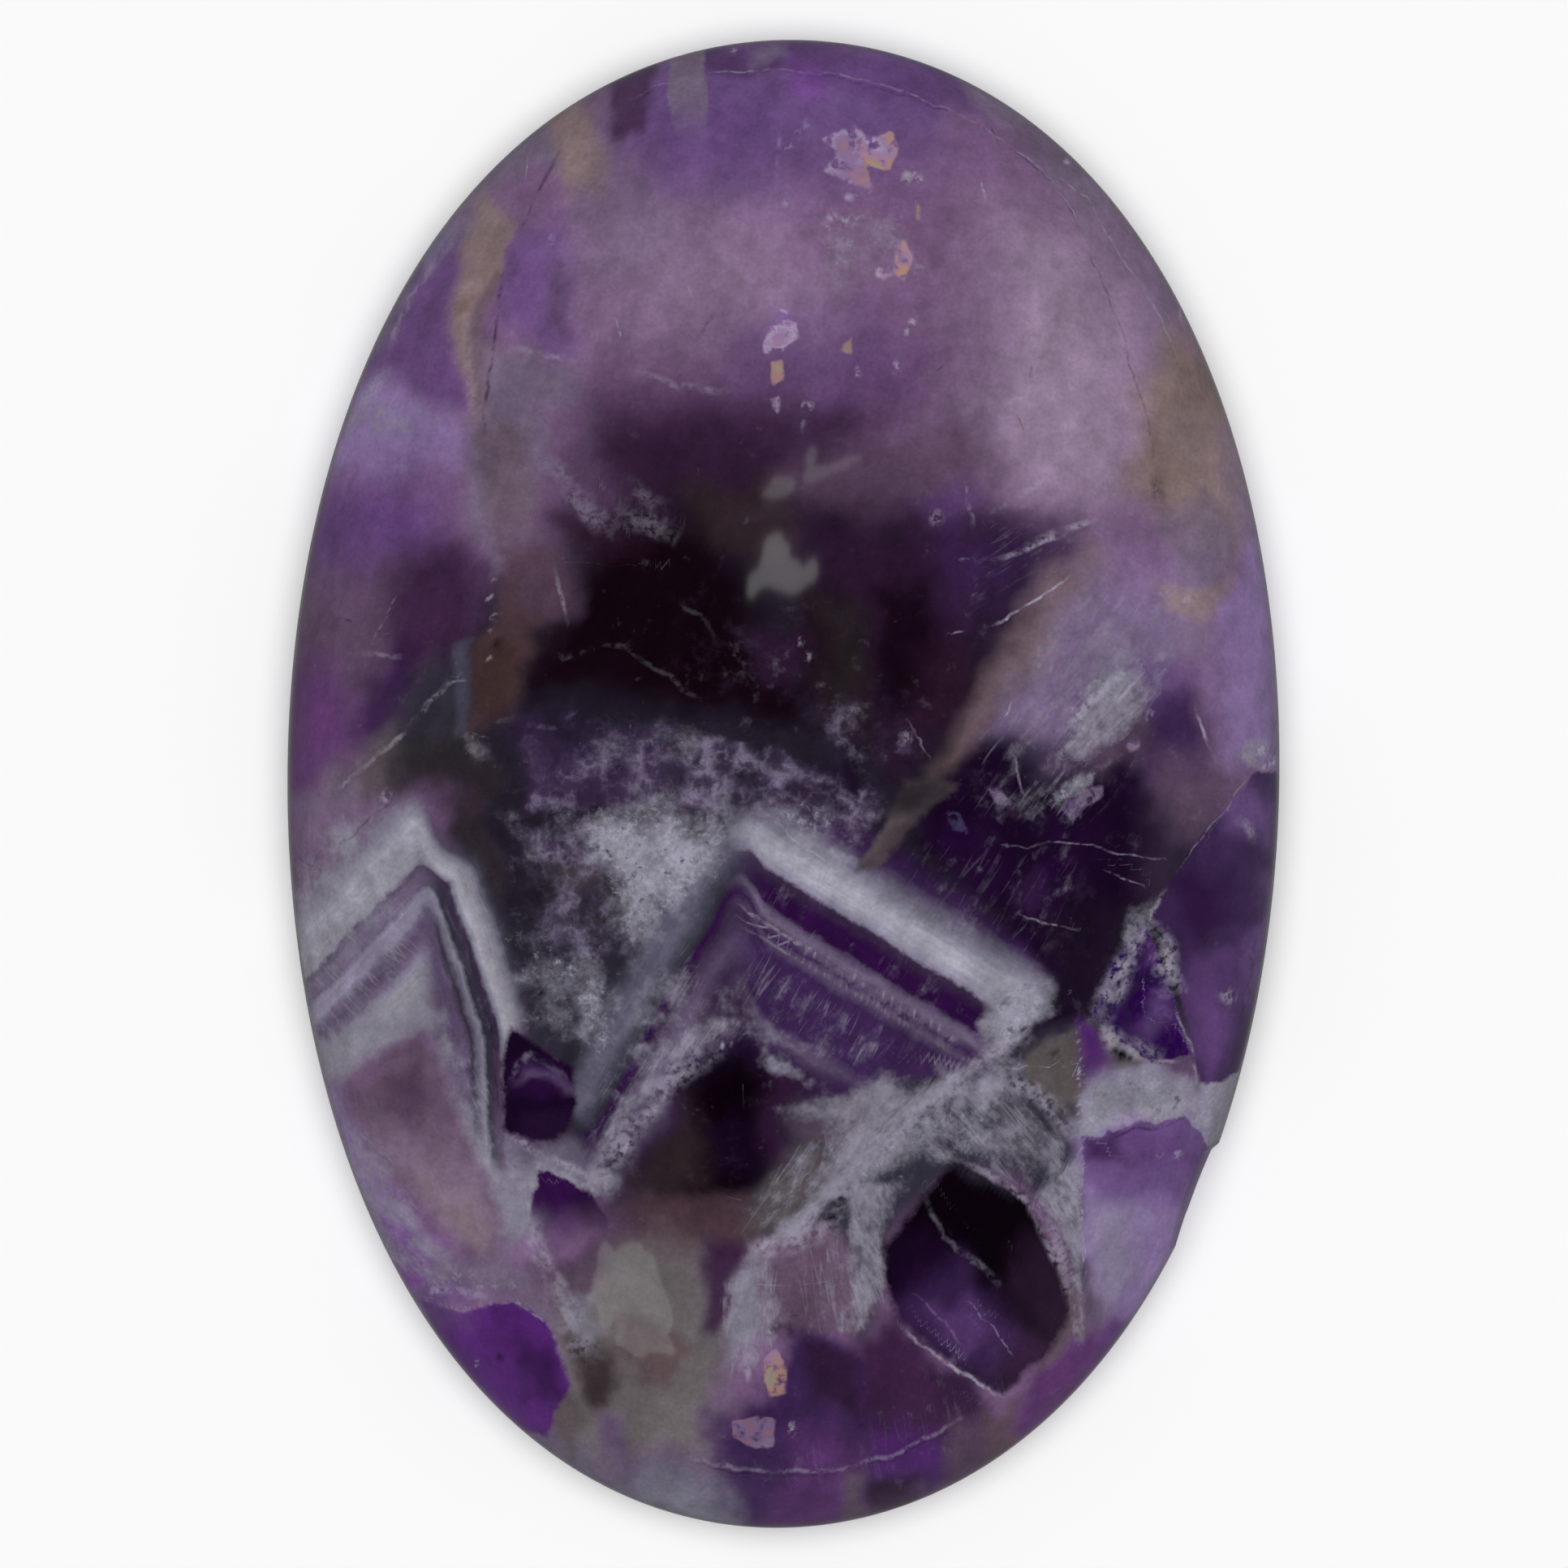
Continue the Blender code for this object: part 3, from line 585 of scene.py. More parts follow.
    ("softViolet", 0.7, 0.8, [(9.4, -11.8), (11.8, -11), (12.9, -11.6), (11.8, -13), (9.6, -12.9)]),
    ("lilacPale", 0.7, 0.7, [(9.1, -13), (10.8, -13.2), (10.6, -15.2), (9.2, -16.4)]),
    # the white seam below the pocket
    ("lilacPale", 0.35, 1, [(8.9, -8.9), (9.8, -8.7), (11.2, -8.7), (12.6, -9), (13.6, -8.6),
        (14.4, -8.4), (13.4, -11.2), (12.7, -10.9), (12, -10), (11, -10.2), (9.6, -10.6),
        (8.9, -10.5)]),
    ("olive", 0.35, 0.9, [(9.4, -7.4), (10.2, -7.8), (11, -8.5), (10.8, -8.9), (9.7, -9)]),
    # lower left rim
    ("orchid", 0.35, 0.9, [(-12.4, -13.2), (-11.7, -13.1), (-11, -14.1), (-10.4, -15.3), (-11.2, -15.5),
        (-12.4, -14.2)]),
    ("softViolet", 0.4, 0.8, [(-10.8, -15.5), (-9.9, -15.1), (-9.2, -15.6), (-10, -16.8)]),
    ("olive", 0.4, 0.9, [(-7.2, -18.2), (-6.5, -18), (-6.1, -19.2), (-6.6, -20.3), (-7.3, -19.7)]),
]

# Crisp zones, where one crystal ends against another: tint, width of the edge, corners, and where it
# fades out, as two points (full there, gone there), if it does.
crispZones = [
    ("mauveGrey", 0.14, [(-3.48, 22.8), (-2.36, 22.9), (-2.31, 20.6), (-2.25, 19), (-3.2, 19),
        (-3.45, 20.6)], ((-2.8, 20.8), (-2.9, 19.2))),
    ("mauveMid", 0.6, [(-13.1, -9), (-12.5, -8.4), (-11.7, -7.85), (-10.95, -7.64), (-10.37, -8.27),
        (-9.91, -9.42), (-9.46, -10.68), (-8.88, -11.94), (-8.43, -13.09), (-9, -14.46),
        (-9.92, -13.66), (-11.06, -12.51), (-12.3, -11.14), (-13.1, -9.9)], None),
    ("ink", 0.22, [(-8.25, -7.24), (-6.36, -8.5), (-6.2, -9.3), (-6.36, -10.34), (-6.9, -10.75),
        (-7.62, -10.75), (-8.43, -10.34), (-8.43, -8.04)], None),
    ("deepViolet", 0.16, [(-7.28, -11.54), (-5.73, -12.34), (-5.3, -13.09), (-5.5, -14), (-6.2, -14.7),
        (-6.9, -14.4), (-7.45, -13.6), (-7.62, -12.86)], ((-6.6, -12.4), (-6.2, -14.2))),
    ("brightViolet", 0.2, [(-10.9, -15.5), (-9.6, -15.9), (-8.6, -15.65), (-8.08, -15.6),
        (-7.16, -16.2), (-6.7, -17.1), (-6.48, -18.13), (-7.1, -19.6), (-8.3, -19.4),
        (-10, -17.6)], None),
    ("night", 0.35, [(5.29, -11.37), (6.44, -11.94), (7.35, -12.51), (7.93, -13.66), (8.5, -14.92),
        (8.7, -15.8), (8, -17.2), (7.35, -17.67), (6.55, -18.4), (5.2, -17.6), (3.5, -16.3),
        (3.1, -15.26), (2.95, -14), (3.34, -13.54), (4.3, -12.28)], None),
    ("oliveMid", 0.3, [(2.2, -2.62), (2.73, -2.62), (3.56, -1.72), (4.4, -0.75), (5.23, -0.1),
        (4.6, 0.2), (3.67, 0.14), (3.46, -0.41), (2.94, -1.45)], None),
    ("darkViolet", 0.14, [(14.2, 0.3), (13.58, -0.41), (12.64, -1.55), (12.01, -2.39), (11.54, -3.05),
        (11, -4.1), (11.6, -4.7), (11.9, -6), (12.35, -8.2), (12.5, -9), (13.2, -9), (14.4, -8.2),
        (15.6, -4), (15.6, 0.3)], None),
    ("brightViolet", 0.6, [(8.88, -7.15), (9.2, -7.3), (9.8, -8.2), (10.3, -9.1), (8.88, -9.2)],
        ((9.2, -7.4), (10, -9.4))),
    ("softViolet", 0.1, [(8.98, -10.6), (9.6, -10.6), (10.3, -10.35), (10.7, -10.1), (11.1, -10.25),
        (12.1, -10), (12.6, -10.7), (12.95, -11.2), (12.2, -13.2), (9.1, -13.4)], ((10.5, -11.4),
        (10.2, -13))),
    ("royal", 0.08, [(9.2, -6.98), (9.95, -5.35), (10.88, -4.15), (11.45, -5.5), (11.95, -7.3),
        (12.3, -8.1), (11.6, -8.35), (11.1, -8.4), (10.15, -7.7)], None),
]
# The two chevrons. Each limb's inner edge is a run of corners from left to right: its left is outward.
chevrons = {
    "left": {
        "outerLimb": [(-17, -8.56), (-11.01, -2.42), (-9, -0.36)],
        "innerLimb": [(-13, -1.15), (-11.01, -2.42), (-10.08, -3.01), (-9.66, -4.06), (-9.14, -5.52),
            (-8.56, -7.29), (-8.4, -9.5), (-8.3, -13)],
        "closerLimb": "innerLimb",     # the limb whose lines lie closer together, and how much closer
        "insideScale": 1.43,
        "outsideScale": 2.4,
        "swapAt": (-11.2, -10.2),      # x where one limb's colours give way to the other's
    },
    "right": {
        "outerLimb": [(-6.2, -9.8), (-4.86, -7.37), (-4.24, -6.14), (-3.3, -4.58), (-2.78, -3.74),
            (-2.25, -2.7), (-1.75, -2.2), (-1, -1.75), (0.4, -0.9)],
        "innerLimb": [(-2.6, -1.2), (-1, -2.15), (0.02, -2.81), (6.69, -6.87), (10, -8.88)],
        "closerLimb": "outerLimb",
        "insideScale": 1.9,
        "outsideScale": 1.0,
        "swapAt": (-1.9, -0.5),
    },
}

# Colour by distance in mm from a limb's inner edge, outward positive: distance, tint, strength.
bandRamps = {
    "leftOuter": [
        (-3.6, "lilacPale", 0), (-3.0, "milk", 0.9), (-2.2, "milk", 1), (-2.05, "lilacPale", 1),
        (-1.85, "duskPale", 1), (-1.5, "dusk", 1), (-1.25, "duskPale", 1), (-1.1, "lilacPale", 1),
        (-0.75, "lilacPale", 1), (-0.6, "duskPale", 1), (-0.25, "duskPale", 1), (-0.04, "dusk", 1),
        (0.08, "milk", 1), (0.5, "milkWhite", 1), (0.95, "milkWhite", 1), (1.35, "milkGrey", 0.95),
        (1.8, "greyLilac", 0.5), (2.4, "olive", 0),
    ],
    "leftInner": [
        (-6.2, "lilacPale", 0), (-5.0, "lilacPale", 0.7), (-4.0, "duskPale", 0.9), (-2.4, "dusk", 1),
        (-1.5, "dusk", 1), (-1.25, "slateDark", 1), (-1.0, "greyLilac", 1), (-0.82, "milkGrey", 1),
        (-0.62, "slateDark", 1), (-0.1, "plumDusk", 1), (0.08, "milkGrey", 1), (0.45, "milkWhite", 1),
        (1.2, "milk", 1), (1.7, "milkGrey", 0.95), (2.2, "slate", 0.8), (2.8, "slateDark", 0.3),
        (3.5, "slateDark", 0),
    ],
    "rightOuter": [
        (-8.6, "greyLilac", 0), (-7.6, "greyLilac", 0.6), (-6.2, "dusk", 1), (-5.0, "plumDusk", 1),
        (-3.8, "plumDusk", 0.8), (-3.0, "dusk", 0.8), (-2.2, "plumDusk", 1), (-1.6, "deepViolet", 1),
        (-1.2, "slateDark", 1), (-0.7, "slate", 1), (-0.1, "milkBlue", 1), (0.12, "milkBlue", 0.9),
        (0.6, "milkBlue", 0.9), (1.2, "milkBlue", 0.4), (1.7, "slate", 0),
    ],
    "rightInner": [
        (-5.6, "ink", 0), (-4.9, "plum", 0.7), (-4.2, "dusk", 1), (-3.8, "darkViolet", 1),
        (-2.2, "darkViolet", 1), (-1.9, "dusk", 1), (-1.7, "darkViolet", 1), (-1.45, "dusk", 1),
        (-1.28, "duskPale", 1), (-1.1, "dusk", 1), (-0.95, "deepViolet", 1), (-0.5, "deepViolet", 1),
        (-0.1, "plumDusk", 1), (0.03, "lilacPale", 1), (0.35, "milkWhite", 1), (0.75, "milkWhite", 1),
        (1.1, "milkGrey", 1), (1.45, "greyLilac", 0.95), (1.9, "darkViolet", 0.85),
        (2.6, "deepViolet", 0.6), (3.3, "deepViolet", 0.25), (3.9, "ink", 0),
    ],
}

# Where each chevron shows: softness, corners.
chevronReach = {
    "left": (0.9, [(-16, -4), (-13.6, -0.9), (-11.2, -0.4), (-9, -1.4), (-7.8, -5.2), (-7.9, -7.2),
        (-8.45, -8.2), (-8.5, -11.6), (-9.2, -11.2), (-9.7, -9.6), (-10.4, -8), (-11, -7.5),
        (-12.6, -8.2), (-13.2, -8.9), (-16, -8.8)]),
    "right": (0.8, [(-1.2, -0.8), (1.5, -0.9), (3.6, -1.9), (7.2, -4.8), (8, -6), (7.8, -6.8),
        (7, -7.3), (5.4, -8.4), (2.6, -9.1), (0.9, -8.7), (-1.1, -7.3), (-2.2, -7.9), (-3.4, -9),
        (-4.4, -11), (-5.7, -12.1), (-6.5, -9.5), (-5.4, -7), (-4.2, -4.6), (-2.9, -2.6)]),
}

# Fine hairs, which are silk where they are dense: degrees from +x, density, softness, corners.
fibreZones = [
    (136, 0.35, 0.8, [(-16, -5.4), (-13.8, -5.1), (-11.1, -2.5), (-10.6, -3.4), (-10.9, -5),
        (-12.6, -7), (-14.2, -8.6), (-16, -8)]),
    (136, 0.35, 0.9, [(-15.8, -4.6), (-13.4, -1.6), (-11.3, -0.7), (-11.1, -2.3), (-14.4, -5.8)]),
    (-68, 0.16, 0.6, [(-10, -2.6), (-9.2, -1.8), (-8.2, -5), (-8.4, -8), (-8.6, -12), (-9.5, -10.4),
        (-10.2, -7.4), (-10.8, -5)]),
    (-66, 0.35, 0.4, [(-10.2, -7.6), (-9.5, -7), (-8.7, -10), (-8.4, -12.6), (-8.9, -12.8),
        (-9.6, -10.4)]),
    # across and under the right chevron's band
    (58.6, 0.16, 0.8, [(-1, -3), (0, -2.9), (6.6, -7), (5, -8.6), (1.2, -8.6), (-1.2, -7),
        (-1.6, -4.6)]),
    (58.6, 0.3, 0.8, [(-1.6, -5.6), (-0.4, -5), (1.4, -6.4), (3.6, -7.8), (2.6, -8.6), (1, -8.4),
        (-0.4, -7.6), (-1.4, -7)]),
    (58.6, 0.18, 1.0, [(2.6, -2.6), (4.6, -1.4), (7.2, -1.8), (9.4, -1.6), (8.8, -4.4), (7.8, -5.6),
        (5.6, -5.4)]),
    (58.6, 0.45, 0.7, [(0.6, -2), (2.4, -2.6), (5, -4.2), (7.4, -5.6), (7.2, -6.2), (4.6, -4.9),
        (2.2, -3.4), (0.4, -2.4)]),
    # its left limb
    (60, 0.25, 0.9, [(-5.8, -8.6), (-4.4, -6), (-3, -4.6), (-2, -5.6), (-1.6, -6.8), (-3.4, -8),
        (-5, -10.6), (-6.2, -11.8)]),
    (58, 0.7, 0.6, [(-5.7, -12.4), (-4.8, -10.2), (-3.3, -8.5), (-2.2, -7.7), (-1.1, -7.2), (-2.2, -7),
        (-3.8, -8), (-5.2, -10), (-6, -11.8)]),
    # the fractured wedge at the right
    (53, 0.32, 1.0, [(5.6, 0.6), (7.2, 3.8), (9, 6.2), (11.4, 5.6), (12, 3.8), (10.6, 1.6), (9, -0.4),
        (7.2, 0.6)]),
    (50, 0.8, 0.6, [(8.2, 1), (9.4, 2.6), (10.8, 3.6), (11.2, 2.8), (10.2, 1.4), (9, 0.6)]),
    (52, 0.3, 1.2, [(5.4, -0.6), (7.4, 1), (9, 2), (10.8, 2), (10.2, 0), (8.8, -1.6), (7, -1.2)]),
    (33, 0.2, 0.9, [(6, 8.4), (9.8, 9.8), (10.2, 7.8), (7, 5.8), (5.4, 4.9)]),
    # silk below the band: a spine with a fan on each side
    (46, 1.0, 0.5, [(-1.1, -14.3), (0.5, -13.6), (2, -12), (4.3, -9.9), (5.4, -8.9), (7.4, -7.4),
        (6, -8.2), (4.4, -9.1), (2.6, -10.6), (1, -12.4), (-0.6, -13.8)]),
    (50, 0.6, 0.8, [(-0.6, -13.2), (1, -11.4), (1.6, -9.8), (3, -9.2), (5, -8.8), (3.6, -10.4),
        (2, -12)]),
    (55, 0.5, 0.6, [(-1.6, -13.6), (-0.4, -12), (0.8, -10.6), (1.4, -10.8), (0.4, -12.6)]),
    (-50, 0.5, 0.7, [(5, -9), (6.8, -9), (8.6, -10.2), (8.9, -12), (8.2, -12.4), (6.6, -11.8),
        (5.4, -11.2), (4.6, -10.2)]),
    (-38, 0.55, 0.5, [(4.8, -9.2), (5.8, -11.2), (4.4, -11.6), (3.6, -11)]),
    (-70, 0.7, 0.5, [(2.2, -12), (3.6, -12), (3, -13.8), (3, -15.6), (2.2, -16.6), (1.8, -14)]),
    (-62, 0.9, 0.35, [(7.5, -12.5), (8.2, -13.2), (8.8, -14.8), (9, -16.8), (9, -11), (8.4, -11.6)]),
    (98, 0.3, 0.5, [(0.2, -13.7), (2.6, -13.6), (2.9, -15.2), (2, -16.8), (0.6, -17)]),
    (86, 0.6, 0.5, [(-1.9, -15), (-0.4, -14.3), (0.2, -16), (-0.6, -17.6), (-1.6, -17.8)]),
    # thin wisps
    (-42, 0.55, 0.6, [(-13.6, -11), (-12.4, -10.4), (-10.6, -13.6), (-9.6, -15.4), (-12, -14.6)]),
    (-60, 0.4, 0.5, [(-8.2, -12.9), (-7.6, -12.8), (-6.2, -15.6), (-6, -17), (-7.4, -15.4)]),
    (100, 0.15, 0.8, [(5.4, -16.4), (7.2, -18), (6.6, -20.4), (1.4, -22), (-2, -20.4), (2.4, -19)]),
]

# White inside the stone: a veil, a web of fine strands (lace) and grains of frost.
# Each is density, softness, corners; a later zone wins where it is denser.
veilZones = [
    # round the left chevron
    (0.9, 0.6, [(-15.2, -8.2), (-13.6, -7), (-12.4, -6.4), (-11.2, -6), (-10.5, -6.6), (-10.8, -7.3),
        (-12.2, -7.6), (-13.2, -8.4), (-14.6, -9.4)]),
    (0.6, 0.6, [(-15.5, -3), (-13, -0.9), (-10.4, -0.7), (-10.8, -2.2), (-13.6, -4.8), (-15.6, -6.4)]),
    (0.7, 0.35, [(-10.5, -7.3), (-9.9, -7.9), (-9.2, -9.6), (-8.5, -11.5), (-8.3, -12.9), (-8.8, -13.3),
        (-9.3, -11.9), (-10, -10), (-10.5, -8.4)]),
    (0.5, 0.4, [(-13.4, -9), (-13.2, -10.6), (-12, -12.2), (-10.6, -13.8), (-9.4, -14.9), (-9.8, -15.2),
        (-11.4, -14), (-13, -12), (-13.9, -9.8)]),
    # the frost cloud and the white band's upper side
    (1.0, 0.9, [(-5.6, -1.4), (-2.6, -1.3), (-2.4, -2.2), (-3.4, -3.8), (-4.4, -4.6), (-4.9, -3),
        (-5.6, -2)]),
    (0.75, 0.5, [(-1.8, -1.3), (0.2, -1.3), (2.4, -2.6), (0.8, -2.8), (-1, -2)]),
    (0.35, 1.0, [(-6, -5.4), (-4.9, -5.8), (-5.3, -7.8), (-6.4, -7.6), (-6.8, -6.6)]),
    (0.4, 0.6, [(-4.6, -6.2), (-3.2, -5), (-2.4, -6), (-1.4, -7), (-3.4, -8.4), (-4.8, -10.4),
        (-5.5, -11.6), (-5.6, -9.4)]),
    (0.9, 0.4, [(6.2, -5.4), (7.6, -5.8), (8, -6.6), (7, -7.2), (6.2, -6.6)]),
    (0.8, 0.5, [(-0.2, -7.6), (1, -8), (1.6, -8.6), (0.8, -8.8), (-0.2, -8.2)]),
    (0.55, 0.5, [(-1.8, -5.6), (0, -6.2), (1, -7.6), (-0.6, -7.4), (-2, -6.9)]),
    # milk behind the silk
    (0.75, 0.7, [(-1.6, -14.6), (0.4, -13.6), (1.8, -12.4), (3.6, -10.8), (5.4, -9.3), (7.2, -7.7),
        (6.8, -7.2), (4.6, -8.6), (2.2, -10.6), (0.2, -12.8)]),
    (0.5, 0.6, [(2, -12), (3.4, -12.2), (4.6, -11), (5.4, -10.7), (7.6, -11.6), (8.8, -13),
        (8.8, -11.4), (7.2, -10.4), (5, -10), (3.4, -11)]),
    (0.5, 0.5, [(2, -12.6), (3.2, -12.8), (2.9, -14.4), (2.7, -15.6), (1.9, -16.4), (1.8, -14.4)]),
    (0.8, 0.8, [(0.8, -9.3), (3.6, -8.9), (4.8, -9.1), (3.4, -10.3), (1.4, -10.2)]),
    (0.2, 0.5, [(0.6, -13.4), (2, -11.8), (4.3, -9.7), (5.4, -8.7), (6.6, -9), (8.2, -9.7),
        (8.6, -11.4), (7, -11.4), (5.4, -10.9), (4, -11.6), (2.8, -13.4), (2.6, -14.6)]),
    (0.6, 0.3, [(-1.2, -14.2), (0.4, -13.5), (1.2, -13), (0.2, -12.8), (-0.8, -13.4)]),
    # the seam under the pocket
    (0.9, 0.25, [(9, -9.5), (10.2, -9.5), (11.6, -9.3), (12.6, -9.4), (12.2, -9.9), (11.2, -10.1),
        (10.6, -10.1), (9.6, -10.5), (8.9, -10.3)]),
    (0.8, 0.35, [(12.8, -8.8), (14.4, -8.4), (13.4, -11), (12.7, -10.6)]),
    (0.5, 0.4, [(9.2, -9), (11, -8.6), (12.4, -9), (11, -9.5), (9.2, -9.7)]),
    # lower left
    (0.75, 0.4, [(-8.6, -10.7), (-7, -10.9), (-5.9, -11.6), (-5.7, -12.2), (-7.4, -11.9), (-7.8, -13.2),
        (-8.6, -12.4)]),
    # thin haze elsewhere
    (0.5, 0.9, [(-13.5, 12.4), (-11.6, 11.4), (-10.6, 10.4), (-12.4, 9.8), (-14, 10.4)]),
    (0.45, 0.9, [(9, 4.4), (10.8, 5.2), (11.2, 3), (9.6, 1.6), (8.6, 2)]),
    (0.7, 0.25, [(14.1, 1.4), (15, 1.3), (15, 0.1), (14.4, 0.3)]),
    (0.6, 0.4, [(-11.9, -0.9), (-11.2, -0.7), (-10.6, -1.4), (-11.6, -1.8)]),
]
laceZones = [
    (0.66, 0.5, [(-7.6, 1), (-6.4, 1.4), (-4.6, 2), (-2.6, 2), (0, 1.8), (1.6, 1), (2.6, 0),
        (1.6, -1.4), (-1, -1), (-4, -0.9), (-7.6, -0.7)]),
    (0.6, 0.8, [(1, 0.8), (3.2, 0.4), (3.6, -0.6), (2.4, -2.2), (0.8, -1.6)]),
    (0.6, 0.8, [(-8.2, -1), (-6, -0.8), (-5.2, -3), (-5, -5), (-7.4, -5), (-8, -2.8)]),
    (0.3, 1.2, [(-8.2, -5), (-5.6, -4.6), (-5, -7.6), (-7, -7.8), (-8.3, -6.8)]),
    (0.35, 0.8, [(1, 3.6), (4, 3.6), (4.6, 1), (2.4, 0.6), (0.6, 1.8)]),
    (0.35, 0.8, [(-7.4, 9.8), (-5.4, 9.6), (-5.2, 7.6), (-6.2, 7.6)]),
    (0.3, 0.7, [(-5, 8.6), (-3.2, 8.2), (-2.8, 7.4), (-5, 7.4)]),
    (0.25, 1.2, [(-3.4, 6), (1, 5.6), (1.6, 3), (-3, 2.6)]),
    (0.25, 0.8, [(-3, -9.6), (-0.4, -9.6), (-0.6, -12), (-2.6, -12)]),
    (0.3, 0.8, [(-6.3, -8.6), (-5.2, -8.6), (-5.4, -12), (-6.2, -12)]),
    (0.35, 0.7, [(6, 0.4), (8, 0.6), (8, -2), (6, -2)]),
    (0.3, 1.2, [(7.4, -2.4), (10.6, -2.4), (10.8, -4), (9.4, -6.2), (8, -5.4)]),
]
frostZones = [
    (0.8, 1.2, [(-6.6, -1), (-4.4, -0.7), (-1.8, -0.9), (-1.8, -2.2), (-3.2, -3.8), (-4.4, -5.2),
        (-5, -4.2), (-5.4, -2.8), (-6.4, -2.2)]),
    (0.3, 1.1, [(-8, -0.8), (-6, -0.4), (-5.4, -1.6), (-5.8, -2.6), (-6.8, -2.4), (-8, -2.6)]),
    (0.42, 1.2, [(-8.4, -3.9), (-5.8, -4.2), (-4.8, -5.6), (-5.2, -8.2), (-6.6, -7.8), (-8.3, -6.8)]),
    (0.6, 0.3, [(9.05, -7), (10.7, -4.1), (11.1, -4), (11.7, -4.7), (11.6, -5.5), (12, -6.4),
        (11.7, -6.4), (11.3, -5.5), (11.1, -4.7), (10.8, -4.6), (9.9, -6.4), (9.9, -7.2), (11.4, -8.2),
        (11.4, -8.7), (10, -8.5)]),
    (0.6, 0.7, [(-6.9, -5.6), (-5.2, -5.4), (-4.6, -6.6), (-5.6, -8), (-7, -7.4)]),
    (0.5, 0.7, [(-1, 0), (1.4, 0), (2.2, -1.8), (0.6, -2), (-1.2, -0.8)]),
    (0.75, 0.4, [(6.6, -5.4), (8.2, -5.8), (8.1, -6.6), (7.2, -7.2), (6.4, -6.8)]),
    (0.5, 0.4, [(1.6, -12.6), (2.8, -11.2), (4.6, -9.8), (6, -9), (5.4, -10.2), (3.6, -11.6),
        (2.6, -13)]),
    (0.4, 0.5, [(4.6, -9.6), (6.6, -9.2), (8.6, -10.6), (8.6, -11.4), (7, -11.2), (5.4, -10.8)]),
    (0.5, 0.3, [(8.9, -9), (13.6, -8.8), (12.8, -10.6), (9, -10.3)]),
    (0.7, 0.3, [(8.3, -0.8), (8.6, -0.3), (9.5, 0), (9.5, -0.4), (9, -0.75), (8.6, -1.05)]),
    (0.65, 0.7, [(8.8, 2.6), (9.8, 3.4), (10.8, 3.2), (10.6, 1.8), (9.4, 1), (8.4, 1.4)]),
    (0.4, 0.6, [(-6, 1.6), (-3, 2), (-2.6, 0.6), (-5.6, 0.6)]),
    (0.35, 0.8, [(1, 18), (4.4, 18), (4.6, 15.4), (2.4, 14.8), (1, 16)]),
    (0.5, 0.4, [(-9.6, -14.7), (-8, -15), (-6.8, -16), (-8, -15.5), (-10.6, -15.3)]),
    (0.4, 0.4, [(-9.3, 1), (-8.4, 1), (-8.6, 0), (-9.4, 0.2)]),
]
